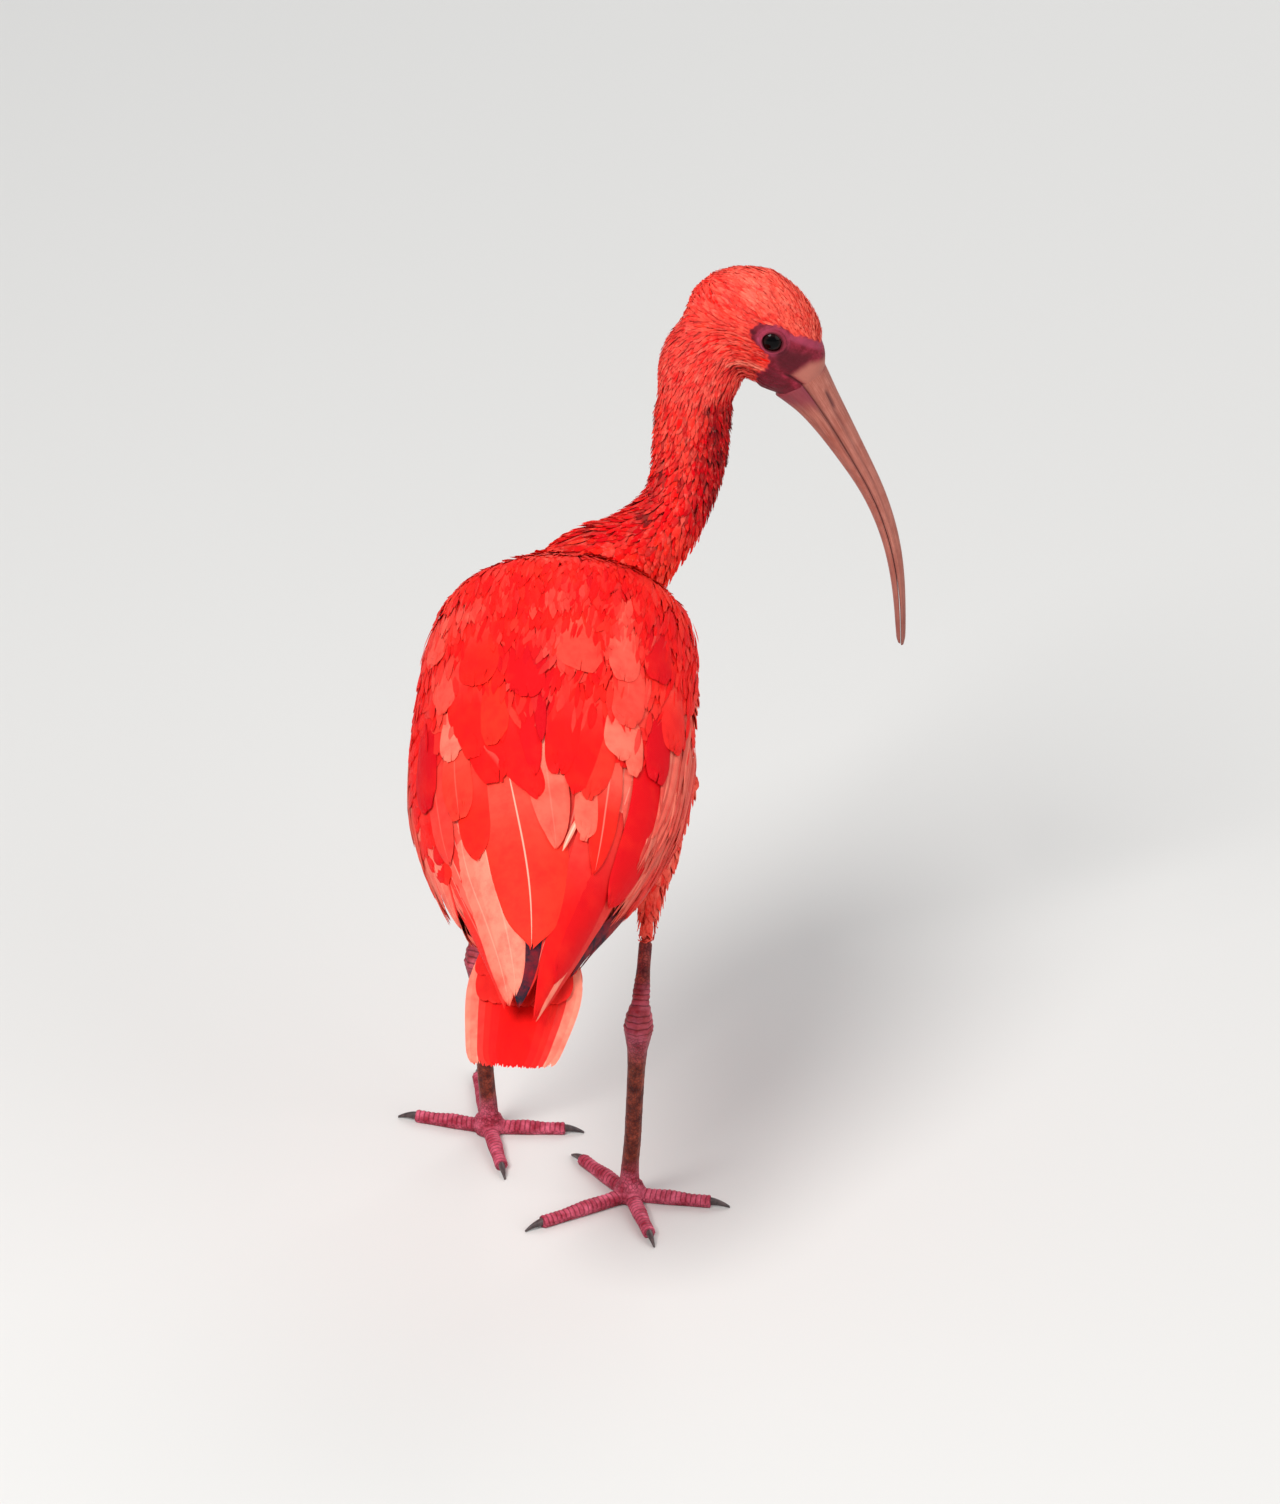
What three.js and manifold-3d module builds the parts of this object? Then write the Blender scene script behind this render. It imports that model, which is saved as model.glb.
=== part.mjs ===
// A life-size scarlet ibis, standing and looking over its right shoulder. Millimetres and degrees.
// The bird faces +Y, +X is its right side and +Z is up. Both feet stand flat on the plane z = 0.
import * as THREE from "three";
import { mergeVertices } from "three/addons/utils/BufferGeometryUtils.js";
import Module from "manifold-3d";

const wasm = await Module();
wasm.setup();

// Gap between pieces that touch
const SEAM = 0.3;

// Body: an axis pitched up towards the breast, with cross-sections along it
const BODY_PITCH = 24;
const BODY_CENTRE = [-1.6, -14, 207.5];

// The outer surface of the plumage with the wings folded. Each row is a section at a place along the axis:
// half width, how far its centre rises off the axis, and its height above and below that centre.
const PLUMAGE = [
  { at: 118, wide: 0, rise: 2, above: 0, below: 0 },
  { at: 112, wide: 21.5, rise: 2, above: 15, below: 20 },
  { at: 96, wide: 38, rise: 1, above: 32, below: 39 },
  { at: 72, wide: 58, rise: 0, above: 49.3, below: 51 },
  { at: 40, wide: 63, rise: 0, above: 52, below: 54 },
  { at: 10, wide: 63.5, rise: 0, above: 50.5, below: 53 },
  { at: -25, wide: 60.5, rise: 0, above: 47, below: 46 },
  { at: -55, wide: 52, rise: 2, above: 41.5, below: 36 },
  { at: -82, wide: 40, rise: 5, above: 34.5, below: 26 },
  { at: -105, wide: 27.5, rise: 8, above: 26, below: 16 },
  { at: -127, wide: 17, rise: 10, above: 17, below: 9 },
  { at: -146, wide: 9.5, rise: 12, above: 9.5, below: 5 },
  { at: -166, wide: 0, rise: 14, above: 0, below: 0 },
];
const RUMP_AT = -96;

// Where the two wings meet: degrees to the right of the back's middle
const MEETING = [
  { at: 70, turn: 0 },
  { at: -15, turn: 0 },
  { at: -60, turn: 11 },
  { at: -105, turn: 13 },
  { at: -149, turn: 4 },
];
// The lower edge of each folded wing, in degrees from the back's middle. The right flank's plumes cover its edge.
const WING_EDGE = {
  left: [
    { at: 80, turn: 80 },
    { at: 40, turn: 92 },
    { at: -60, turn: 92 },
    { at: -110, turn: 88 },
    { at: -149, turn: 88 },
  ],
  right: [
    { at: 80, turn: 80 },
    { at: 32, turn: 78 },
    { at: -10, turn: 56 },
    { at: -48, turn: 52 },
    { at: -89, turn: 58 },
    { at: -127, turn: 78 },
    { at: -149, turn: 88 },
  ],
};
// Depths under the plumage's outer surface: the bed cut into the torso for the wings, and the two solid roots
const WING_BED = -12.6;
const ARM = { from: 80, elbow: 30, to: -6, inner: 26, bottom: -11.6, top: -2.8, bare: -0.6, rear: -8.2 };
const SCAPULARS = { from: 62, to: 10, bottom: -2, top: 0.3 };
// The outer edge of the scapulars on each side, in degrees from the back's middle
const SCAPULAR_EDGE = [
  { at: 62, turn: 42 },
  { at: 30, turn: 42 },
  { at: 0, turn: 36 },
  { at: -26, turn: 28 },
  { at: -58, turn: 18 },
];
// Half width of the plumage under which its layers get thinner
const THIN_BELOW = 15;

// Feathers, tier by tier. Each tier runs across a wing from the back's middle (share 0) to its edge (share 1).
// root and tip give the place along the body of its first and last feather, roots and tips where these lie
// across, and height that of their faces over the plumage's surface, from root to tip. lap is how many times
// its share of the tier's width a feather is wide.
const FEATHER = { thick: 0.6, tipThick: 0.45, step: 1.3, crown: 0.15, lap: 1.3 };
const WING_TIERS = {
  secondaries: {
    count: 5, root: [0, 2], tip: [-134, -98], roots: [0.42, 0.88], tips: [0.2, 0.88], height: [-9.4, -4],
  },
  tertials: {
    count: 3, root: [36, 38], tip: [-140, -104], roots: [0.42, 0.54], tips: [0.15, 0.42], height: [-7.2, -1], lap: 1.45,
  },
  "greater coverts": {
    count: 5, root: [36, 36], tip: [-58, -34], roots: [0.66, 0.92], tips: [0.59, 0.92], height: [-7.2, -1],
  },
  "median coverts": {
    count: 5, root: [38, 44], tip: [-20, -4], roots: [0.62, 0.92], tips: [0.62, 0.92], height: [-4.4, -0.8],
  },
};
const PRIMARIES = {
  count: 4, root: [-34, -34], tip: [-150, -128], roots: [0.3, 0.8], tips: [0.1, 0.97], height: [-11, -6.9],
};
const SCAPULAR_TIERS = {
  hind: { count: 3, root: [16, 17], tip: [-54, -26], roots: [0.18, 0.82], tips: [0.2, 0.82], height: [-1, -0.8] },
  fore: { count: 3, root: [44, 46], tip: [-14, 4], roots: [0.17, 0.83], tips: [0.17, 0.83], height: [0, 1.9] },
};
const SCATTER = { along: 2.5, wide: 0.06, seed: 7 };

// Head: turned to the right and dipped. The brow point lies between the eyes.
const BROW = [84.9, 104, 365];
const HEAD_TURN = 84.5;
const HEAD_DIP = 45;
const HEAD = [
  { at: -39.5, wide: 0, rise: -11, above: 0, below: 0 },
  { at: -36, wide: 7.5, rise: -11, above: 10, below: 10 },
  { at: -29, wide: 13.8, rise: -9, above: 19.2, below: 17.5 },
  { at: -17, wide: 17, rise: -5, above: 23.2, below: 20 },
  { at: -6, wide: 16.6, rise: -5, above: 24.5, below: 21 },
  { at: 4, wide: 15, rise: -5, above: 22.8, below: 22 },
  { at: 13, wide: 12.8, rise: -6, above: 20.2, below: 20 },
  { at: 21, wide: 10.8, rise: -7, above: 15.4, below: 15.8 },
  { at: 28, wide: 9.6, rise: -7.5, above: 10.4, below: 13 },
];
const EYE = { ahead: -1.5, above: -1.8, aside: 11, radius: 6 };
const LIDS = { aside: 15.1, radius: 4.9, half: 0.9, long: 1.08 };
const MOUTH = { into: 9, high: 0.6, deep: 1.6 };
const NOSTRIL = { at: 13, turn: 42, long: 9, high: 1, deep: 0.9 };
const BILL = { ahead: 25, above: -9.4, length: 140 };
// How steeply the bill dips below the level, and its sections
const BILL_DIP = [
  { at: 0, dip: 55.5 },
  { at: 25, dip: 61 },
  { at: 50, dip: 62.5 },
  { at: 75, dip: 71 },
  { at: 100, dip: 80 },
  { at: 125, dip: 87 },
  { at: 140, dip: 89 },
];
const BILL_ROWS = [
  { at: 0, wide: 9.2, upper: 11.5, lower: 14 },
  { at: 15, wide: 7.8, upper: 8.9, lower: 9.8 },
  { at: 35, wide: 6, upper: 7.2, lower: 6.8 },
  { at: 60, wide: 4.8, upper: 5.6, lower: 4.5 },
  { at: 90, wide: 3.8, upper: 4.2, lower: 3.1 },
  { at: 120, wide: 3.2, upper: 2.6, lower: 2.4 },
  { at: 136, wide: 2.8, upper: 2, lower: 1.8 },
  { at: 140, wide: 1.6, upper: 1.2, lower: 0.8 },
];

// The neck from inside the breast to inside the skull: x, y, z, half width, half depth
const NECK = [
  [1.4, 62, 243.5, 32, 30],
  [11.4, 76, 252.5, 29, 26.5],
  [27.9, 88, 264.5, 24, 19.3],
  [42.7, 97, 282.5, 19.5, 16.2],
  [47.4, 101.5, 304.5, 17.8, 17.7],
  [48.9, 102, 327.5, 18, 18.2],
  [52.4, 102.5, 345.5, 17.5, 20.9],
  [60.9, 103, 362.5, 16, 20],
  [66.4, 103.5, 371.5, 13, 15],
];
const NECK_PARTING = 0.52;

// The tail: half width, how far its middle stands to the right, and the height of its middle over the body's axis
const TAIL = {
  rows: [
    { at: -96.5, half: 20, mid: 0 },
    { at: -122, half: 25, mid: 0 },
    { at: -163, half: 19.5, mid: -2 },
  ],
  feathers: 12,
  height: 5.4,
  arch: 3,
  step: 1,
  lap: 1.3,
  base: { to: -106, top: 7.6, bottom: 3.2 },
};
// The coverts over and under the tail: a solid root with a fan of short feathers. Each is [first, last] place.
const OVER_TAIL = { to: -116, depth: -10.1, feathers: 5, tips: -134, half: 0.62 };
const UNDER_TAIL = { to: -120, half: 17, depth: [18, 4.5], feathers: 5, tips: -146, spread: 0.55 };

// Legs: from hip to foot, x, y, z and half width
const LEGS = {
  left: {
    thigh: [
      [-32.6, 42, 195.5, 24],
      [-34.6, 43, 167.5, 17],
      [-36.1, 39, 144.5, 9],
      [-36.6, 29, 126.5, 4.4],
    ],
    hock: [-36.6, 8, 98.5],
    foot: [-35, 25.6],
  },
  right: {
    thigh: [
      [37.4, 4, 192.5, 24],
      [39.4, 2, 165.5, 15],
      [40.2, -8, 142.5, 8],
      [39.6, -20, 126.5, 4.4],
    ],
    hock: [38.7, -43, 98.5],
    foot: [33.2, -26.5],
  },
};
const SHANK = { half: 2.9 };
const TARSUS = { half: 3.6, deep: 4.4, knob: 6.6 };
const HUB = { radius: 7, height: 4.4 };
// Toes: heading in degrees clockwise from +Y, and length from the middle of the foot to the root of the claw
const TOES = {
  left: { outer: [-78, 34], middle: [-12, 46], inner: [86, 34], hallux: [164, 34] },
  right: { outer: [94, 36], middle: [-40, 37], inner: [-127, 45], hallux: [160, 34] },
};
const TOE = { root: 3.6, end: 2.7, lift: 0.85 };
const CLAW = { half: 1.9, tip: 0.5, length: 8.5 };

const v3 = (x, y, z) => new THREE.Vector3(x, y, z);
const rad = THREE.MathUtils.degToRad;
const X = v3(1, 0, 0);
const Z = v3(0, 0, 1);
const SIDES = { left: -1, right: 1 };

// A smooth curve through the rows' values of one column, read at a place. Squares are joined where a section
// closes to a point, so that the end is round.
function column(rows, key, squared = false) {
  const xs = rows.map((r) => r.at);
  const ys = rows.map((r) => (squared ? r[key] ** 2 : r[key]));
  const last = xs.length - 1;
  const slope = (i) => (ys[i + 1] - ys[i]) / (xs[i + 1] - xs[i]);
  const slopes = xs.map((_, i) => {
    if (i === 0) return slope(0);
    if (i === last) return slope(last - 1);
    const a = slope(i - 1);
    const b = slope(i);
    return a * b <= 0 ? 0 : (2 * a * b) / (a + b);
  });
  const falling = xs[0] > xs[last];
  return (x) => {
    let i = 0;
    while (i < last - 1 && (falling ? x < xs[i + 1] : x > xs[i + 1])) i++;
    const h = xs[i + 1] - xs[i];
    const t = THREE.MathUtils.clamp((x - xs[i]) / h, 0, 1);
    const value =
      (2 * t ** 3 - 3 * t ** 2 + 1) * ys[i] +
      (t ** 3 - 2 * t ** 2 + t) * h * slopes[i] +
      (3 * t ** 2 - 2 * t ** 3) * ys[i + 1] +
      (t ** 3 - t ** 2) * h * slopes[i + 1];
    return squared ? Math.sqrt(Math.max(0, value)) : value;
  };
}

function sections(rows) {
  return {
    wide: column(rows, "wide", true),
    rise: column(rows, "rise"),
    above: column(rows, "above", true),
    below: column(rows, "below", true),
  };
}

const pitch = rad(BODY_PITCH);
const ALONG = v3(0, Math.cos(pitch), Math.sin(pitch));
const DORSAL = v3(0, -Math.sin(pitch), Math.cos(pitch));
const plumage = sections(PLUMAGE);

// A point in the body: along its axis, to the right and towards the back
function inBody(along, aside, up) {
  return v3(...BODY_CENTRE)
    .addScaledVector(ALONG, along)
    .addScaledVector(X, aside)
    .addScaledVector(DORSAL, up);
}

// A point of the plumage's surface, by its place along the axis and its angle from the back to the right
function onPlumage(along, angle) {
  const c = Math.cos(rad(angle));
  const s = Math.sin(rad(angle));
  const high = c >= 0 ? plumage.above(along) : plumage.below(along);
  return inBody(along, s * plumage.wide(along), plumage.rise(along) + c * high);
}

// A point at a height over the plumage's surface, measured square to it
function overPlumage(along, angle, height) {
  if (height === 0) return onPlumage(along, angle);
  const step = 0.5;
  const back = onPlumage(along - step, angle).sub(onPlumage(along + step, angle));
  const round = onPlumage(along, angle + step).sub(onPlumage(along, angle - step));
  const normal = v3().crossVectors(back, round).normalize();
  return onPlumage(along, angle).addScaledVector(normal, height);
}

function closedGeometry(points, faces) {
  return new THREE.BufferGeometry()
    .setAttribute("position", new THREE.Float32BufferAttribute(points.flatMap((p) => [p.x, p.y, p.z]), 3))
    .setIndex(faces);
}

// A closed geometry as a solid. A mesh whose faces point in is turned round.
function solid(geometry) {
  const bare = new THREE.BufferGeometry().setAttribute("position", geometry.getAttribute("position").clone());
  if (geometry.index) bare.setIndex(geometry.index);
  const merged = mergeVertices(bare, 1e-4);
  const triVerts = new Uint32Array(merged.index.array);
  const vertProperties = new Float32Array(merged.getAttribute("position").array);
  const made = new wasm.Manifold(new wasm.Mesh({ numProp: 3, vertProperties, triVerts }));
  if (made.volume() > 0) return made;
  for (let i = 0; i < triVerts.length; i += 3)
    [triVerts[i + 1], triVerts[i + 2]] = [triVerts[i + 2], triVerts[i + 1]];
  return new wasm.Manifold(new wasm.Mesh({ numProp: 3, vertProperties, triVerts }));
}

// A solid through rings of points, each ring the same length, with both ends closed by a fan
function skin(rings) {
  const points = rings.flat();
  const n = rings[0].length;
  const faces = [];
  for (let i = 0; i < rings.length - 1; i++)
    for (let j = 0; j < n; j++) {
      const k = (j + 1) % n;
      const [a, b, c, d] = [i * n + j, i * n + k, (i + 1) * n + k, (i + 1) * n + j];
      faces.push(a, b, c, a, c, d);
    }
  const middle = (ring) => ring.reduce((sum, p) => sum.add(p), v3(0, 0, 0)).divideScalar(n);
  const first = points.push(middle(rings[0])) - 1;
  const end = points.push(middle(rings.at(-1))) - 1;
  const base = (rings.length - 1) * n;
  for (let j = 0; j < n; j++) {
    const k = (j + 1) % n;
    faces.push(first, k, j, end, base + j, base + k);
  }
  return solid(closedGeometry(points, faces));
}

// A solid sheet of rows by columns of points, with its upper and lower faces split into triangles alike
function sheet(rows, columns, pointAt) {
  const points = [];
  for (const face of [0, 1])
    for (let i = 0; i <= rows; i++)
      for (let j = 0; j <= columns; j++) points.push(pointAt(i / rows, j / columns, face));
  const at = (face, i, j) => (face * (rows + 1) + i) * (columns + 1) + j;
  const faces = [];
  for (let i = 0; i < rows; i++)
    for (let j = 0; j < columns; j++) {
      const corner = (face) => [at(face, i, j), at(face, i, j + 1), at(face, i + 1, j + 1), at(face, i + 1, j)];
      const [a, b, c, d] = corner(0);
      const [e, f, g, h] = corner(1);
      faces.push(a, c, b, a, d, c, e, f, g, e, g, h);
    }
  const wall = (i, j, k, l) => {
    const [a, b] = [at(0, i, j), at(0, k, l)];
    const [c, d] = [at(1, i, j), at(1, k, l)];
    faces.push(a, b, d, a, d, c);
  };
  for (let j = 0; j < columns; j++) {
    wall(0, j, 0, j + 1);
    wall(rows, j + 1, rows, j);
  }
  for (let i = 0; i < rows; i++) {
    wall(i + 1, 0, i, 0);
    wall(i, columns, i + 1, columns);
  }
  return solid(closedGeometry(points, faces));
}

const united = (solids) => solids.reduce((all, s) => all.add(s));

// The largest closed body of a solid
function largest(made) {
  return made.decompose().sort((a, b) => b.volume() - a.volume())[0];
}

// A box that covers everything past a plane
function beyond(point, normal, size = 500) {
  const box = new THREE.BoxGeometry(size, size, size);
  box.translate(0, 0, size / 2);
  box.applyQuaternion(new THREE.Quaternion().setFromUnitVectors(Z, normal.clone().normalize()));
  box.translate(point.x, point.y, point.z);
  return solid(box);
}

// Splits a solid at a plane, leaving the seam open: [the side behind the plane, the side ahead of it]
function split(made, point, normal) {
  const n = normal.clone().normalize();
  const half = SEAM / 2;
  const behind = made.subtract(beyond(point.clone().addScaledVector(n, -half), n));
  const ahead = made.subtract(beyond(point.clone().addScaledVector(n, half), n.clone().negate()));
  return [largest(behind), largest(ahead)];
}

const group = new THREE.Group();
const placed = [];

function paint(hex, roughness, metalness = 0) {
  return new THREE.MeshStandardMaterial({ color: hex, roughness, metalness });
}

// Adds a node to the group
function place(name, made, hex, roughness) {
  const mesh = made.getMesh();
  const points = new Float32Array(mesh.numVert * 3);
  for (let i = 0; i < mesh.numVert; i++)
    points.set(mesh.vertProperties.subarray(i * mesh.numProp, i * mesh.numProp + 3), i * 3);
  const geometry = new THREE.BufferGeometry()
    .setAttribute("position", new THREE.BufferAttribute(points, 3))
    .setIndex(new THREE.BufferAttribute(new Uint32Array(mesh.triVerts), 1));
  geometry.computeVertexNormals();
  const node = new THREE.Mesh(geometry, paint(hex, roughness));
  node.name = name;
  group.add(node);
  placed.push(geometry);
}

// Moves everything so that the origin is under the middle of the whole bird's box, on the floor
function centre() {
  const box = new THREE.Box3().setFromObject(group);
  const middle = box.getCenter(v3());
  for (const geometry of placed) geometry.translate(-middle.x, -middle.y, -box.min.z);
}

// The whole body under the plumage's surface, from the breast to a place along the axis
function makeBody(to, grown = 0) {
  const rows = 14;
  const sides = 26;
  const from = PLUMAGE[0].at;
  const rings = [];
  for (let i = 0; i <= rows; i++) {
    const along = from + ((to - from) * (1 - Math.cos((Math.PI * (i + 0.25)) / (rows + 0.25)))) / 2;
    const ring = [];
    for (let j = 0; j < sides; j++) ring.push(overPlumage(along, (360 * j) / sides, grown));
    rings.push(ring);
  }
  return skin(rings);
}

// The same stations, wider by the seam and drawn out by it at the end
function grownStations(stations) {
  const wider = stations.map(([x, y, z, half, deep = half]) => [x, y, z, half + SEAM, deep + SEAM]);
  const [before, end] = stations.slice(-2).map((s) => v3(...s));
  const further = end.clone().addScaledVector(end.clone().sub(before).normalize(), SEAM);
  wider[wider.length - 1].splice(0, 3, ...further);
  return wider;
}

// A round limb through stations of [x, y, z, half width, half depth], its depth kept in the plane of up
function limb(stations, up, sides, steps) {
  const curve = new THREE.CatmullRomCurve3(stations.map((s) => v3(s[0], s[1], s[2])));
  const last = stations.length - 1;
  const rows = stations.map((s, i) => ({ at: i, half: s[3], deep: s[4] ?? s[3] }));
  const half = column(rows, "half");
  const deep = column(rows, "deep");
  const rings = [];
  for (let i = 0; i <= steps; i++) {
    const t = i / steps;
    const centre = curve.getPoint(t);
    const forward = curve.getTangent(t);
    const aside = v3().crossVectors(forward, up).normalize();
    const above = v3().crossVectors(aside, forward);
    const ring = [];
    for (let j = 0; j < sides; j++) {
      const a = (2 * Math.PI * j) / sides;
      ring.push(
        centre
          .clone()
          .addScaledVector(aside, half(t * last) * Math.cos(a))
          .addScaledVector(above, deep(t * last) * Math.sin(a)),
      );
    }
    rings.push(ring);
  }
  return skin(rings);
}

// Head frame: level with its heading, its right side, and along and square to its dipped axis
const heading = rad(90 - HEAD_TURN);
const dip = rad(HEAD_DIP);
const LEVEL = v3(Math.cos(heading), Math.sin(heading), 0);
const ASIDE = v3().crossVectors(LEVEL, Z);
const FORWARD = LEVEL.clone().multiplyScalar(Math.cos(dip)).addScaledVector(Z, -Math.sin(dip));
const CROWN = LEVEL.clone().multiplyScalar(Math.sin(dip)).addScaledVector(Z, Math.cos(dip));

// A point in the head: ahead of the brow, above it, and to its right
function inHead(ahead, above, aside = 0) {
  return v3(...BROW)
    .addScaledVector(FORWARD, ahead)
    .addScaledVector(CROWN, above)
    .addScaledVector(ASIDE, aside);
}

function makeHead(grown = 0) {
  const shape = sections(HEAD);
  const rows = 13;
  const sides = 20;
  const from = HEAD[0].at - grown;
  const to = HEAD.at(-1).at + 3;
  const rings = [];
  for (let i = 0; i <= rows; i++) {
    const t = i / rows;
    const ahead = from + (to - from) * t ** 1.3 + 0.4 * (1 - t);
    const ring = [];
    for (let j = 0; j < sides; j++) {
      const a = (2 * Math.PI * j) / sides;
      const c = Math.cos(a);
      const high = (c >= 0 ? shape.above(ahead) : shape.below(ahead)) + grown;
      ring.push(inHead(ahead, shape.rise(ahead) + c * high, Math.sin(a) * (shape.wide(ahead) + grown)));
    }
    rings.push(ring);
  }
  return skin(rings);
}

const billDip = column(BILL_DIP, "dip");

// The bill's middle line bends down more and more: where it is and which way it runs, at a distance
function onBill(distance) {
  const steps = 40;
  const centre = inHead(BILL.ahead, BILL.above);
  const dipAt = (d) => rad(billDip(d));
  const way = (a) => LEVEL.clone().multiplyScalar(Math.cos(a)).addScaledVector(Z, -Math.sin(a));
  for (let i = 0; i < steps; i++) centre.addScaledVector(way(dipAt((distance * (i + 0.5)) / steps)), distance / steps);
  const forward = way(dipAt(distance));
  const above = v3().crossVectors(ASIDE, forward);
  return { centre, forward, above };
}

// One half of the bill: the upper for a side of 1, the lower for -1. The mouth's line is left open between.
function makeBill(side, length) {
  const wide = column(BILL_ROWS, "wide");
  const deep = column(BILL_ROWS, side > 0 ? "upper" : "lower");
  const rings = [];
  const steps = 13;
  const arc = 6;
  for (let i = 0; i <= steps; i++) {
    const distance = SEAM + (length - SEAM) * (i / steps) ** 0.9;
    const { centre, above } = onBill(distance);
    const ring = [];
    for (let j = 0; j <= arc; j++) {
      const a = (Math.PI * j) / arc;
      ring.push(
        centre
          .clone()
          .addScaledVector(ASIDE, Math.cos(a) * wide(distance))
          .addScaledVector(above, side * (SEAM / 2 + Math.sin(a) * deep(distance))),
      );
    }
    rings.push(ring);
  }
  return skin(rings);
}

function ball(centre, radius, segments) {
  const shape = new THREE.SphereGeometry(radius, segments, Math.round(segments * 0.6));
  shape.translate(centre.x, centre.y, centre.z);
  return solid(shape);
}

// Layers thin out where the wings come to their tips
const thinning = (along) => Math.min(1, plumage.wide(along) / THIN_BELOW);

// A layer of plumage as a plain sheet between two angles, from one place along the axis to another
function patch({ from, to, inner, outer, layer, rows = 12, columns = 9, round = 0.25 }) {
  return sheet(rows, columns, (t, s, face) => {
    const along = from + (to - from) * t;
    const a = inner(along);
    const b = outer(along);
    const tip = t > 1 - round ? (t - 1 + round) / round : 0;
    const narrow = Math.sqrt(Math.max(0, 1 - tip ** 2 * 0.96));
    const middle = (a + b) / 2;
    const angle = middle + (b - a) * (s - 0.5) * narrow;
    const height = typeof layer === "function" ? layer(along, angle)[face] : layer[face];
    return overPlumage(along, angle, height * thinning(along));
  });
}

const meeting = column(MEETING, "turn");
const scapularEdge = column(SCAPULAR_EDGE, "turn");

// The torso, with a bed cut into the body for each wing's arm, its long feathers and its scapulars
const BED_MARGIN = 2;
// Degrees per millimetre by which the arm's bed widens inwards behind the elbow, for the tertials
const BED_LEAN = 0.5;

function makeTorso() {
  const high = 12;
  const beds = [];
  for (const [side, sign] of Object.entries(SIDES)) {
    const edge = column(WING_EDGE[side], "turn");
    const outer = (along) => sign * (edge(along) + BED_MARGIN);
    const layer = [WING_BED, high];
    const inner = (along) => sign * (ARM.inner - BED_MARGIN - BED_LEAN * Math.max(0, ARM.elbow + 8 - along));
    const middle = (along) => meeting(along) - sign * BED_MARGIN;
    const armBed = { from: ARM.from + 1, to: ARM.to - 4, inner, outer, layer, rows: 6, columns: 6, round: 0 };
    const longBed = { from: SCAPULARS.to + 2, to: -150, inner: middle, outer, layer, rows: 8, columns: 7, round: 0 };
    beds.push(patch(armBed), patch(longBed));
  }
  const backEdge = (along) => scapularEdge(along) + BED_MARGIN;
  const backBed = { from: SCAPULARS.from + 1, to: SCAPULARS.to - 1, inner: (along) => -backEdge(along), outer: backEdge };
  beds.push(patch({ ...backBed, layer: [SCAPULARS.bottom - 2 * SEAM, high], rows: 4, columns: 6, round: 0 }));
  return largest(makeBody(RUMP_AT).subtract(united(beds)));
}

const torso = makeTorso();
const wholeNeck = limb(NECK, LEVEL.clone().negate(), 18, 13);
const head = makeHead();
const neckCurve = new THREE.CatmullRomCurve3(NECK.map((s) => v3(s[0], s[1], s[2])));
const neckBare = largest(wholeNeck.subtract(makeBody(RUMP_AT, SEAM)).subtract(makeHead(1.6 * SEAM)));
const [neckLower, neckUpper] = split(
  neckBare,
  neckCurve.getPoint(NECK_PARTING),
  neckCurve.getTangent(NECK_PARTING),
);
const billRoot = onBill(0);
const [skull] = split(head, billRoot.centre, billRoot.forward);

// A ring of skin round an eye, as its lids
function makeLids(side) {
  const ring = new THREE.TorusGeometry(LIDS.radius, LIDS.half, 5, 14);
  ring.scale(LIDS.long, 1, 1);
  ring.applyMatrix4(new THREE.Matrix4().makeBasis(FORWARD, CROWN, ASIDE));
  const centre = inHead(EYE.ahead, EYE.above, SIDES[side] * LIDS.aside);
  ring.translate(centre.x, centre.y, centre.z);
  return solid(ring);
}

// A narrow box to cut a slit with: its middle, the way it runs, the way it faces, and its sizes along these
function slit(middle, way, out, long, high, deep) {
  const box = new THREE.BoxGeometry(long, high, deep);
  box.applyMatrix4(new THREE.Matrix4().makeBasis(way, v3().crossVectors(out, way), out));
  box.translate(middle.x, middle.y, middle.z);
  return solid(box);
}

const eyes = {};
let face = skull;
for (const side of Object.keys(SIDES)) {
  const centre = inHead(EYE.ahead, EYE.above, SIDES[side] * EYE.aside);
  const out = ASIDE.clone().multiplyScalar(SIDES[side]);
  const corner = billRoot.centre.clone().addScaledVector(out, BILL_ROWS[0].wide);
  const mouth = slit(corner, billRoot.forward, out, 2 * MOUTH.into, MOUTH.high, 2 * MOUTH.deep);
  face = face.add(makeLids(side)).subtract(ball(centre, EYE.radius + SEAM, 14)).subtract(mouth);
  eyes[side] = ball(centre, EYE.radius, 14);
}
face = largest(face);

// The upper bill with a nostril slit on each side
function makeUpperBill() {
  const { centre, forward, above } = onBill(NOSTRIL.at);
  const turn = rad(NOSTRIL.turn);
  const wide = column(BILL_ROWS, "wide")(NOSTRIL.at) * Math.cos(turn);
  const high = column(BILL_ROWS, "upper")(NOSTRIL.at) * Math.sin(turn);
  const cuts = Object.values(SIDES).map((sign) => {
    const middle = centre.clone().addScaledVector(ASIDE, sign * wide).addScaledVector(above, high);
    const out = ASIDE.clone().multiplyScalar(sign * Math.cos(turn)).addScaledVector(above, Math.sin(turn));
    return slit(middle, forward, out, NOSTRIL.long, NOSTRIL.high, 2 * NOSTRIL.deep);
  });
  return makeBill(1, BILL.length).subtract(united(cuts));
}

place("head", face, 0xe23a2a, 0.8);
for (const side of Object.keys(SIDES)) place(`eye_${side}`, eyes[side], 0x07070a, 0.05);
place("bill_upper", makeUpperBill(), 0xbd6a55, 0.5);
place("bill_lower", makeBill(-1, BILL.length - 1), 0xbd6a55, 0.5);
place("neck_upper", neckUpper, 0xe03a2a, 0.8);
place("neck_lower", neckLower, 0xe03a2a, 0.8);
place("torso", torso, 0xee4a35, 0.8);

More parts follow.
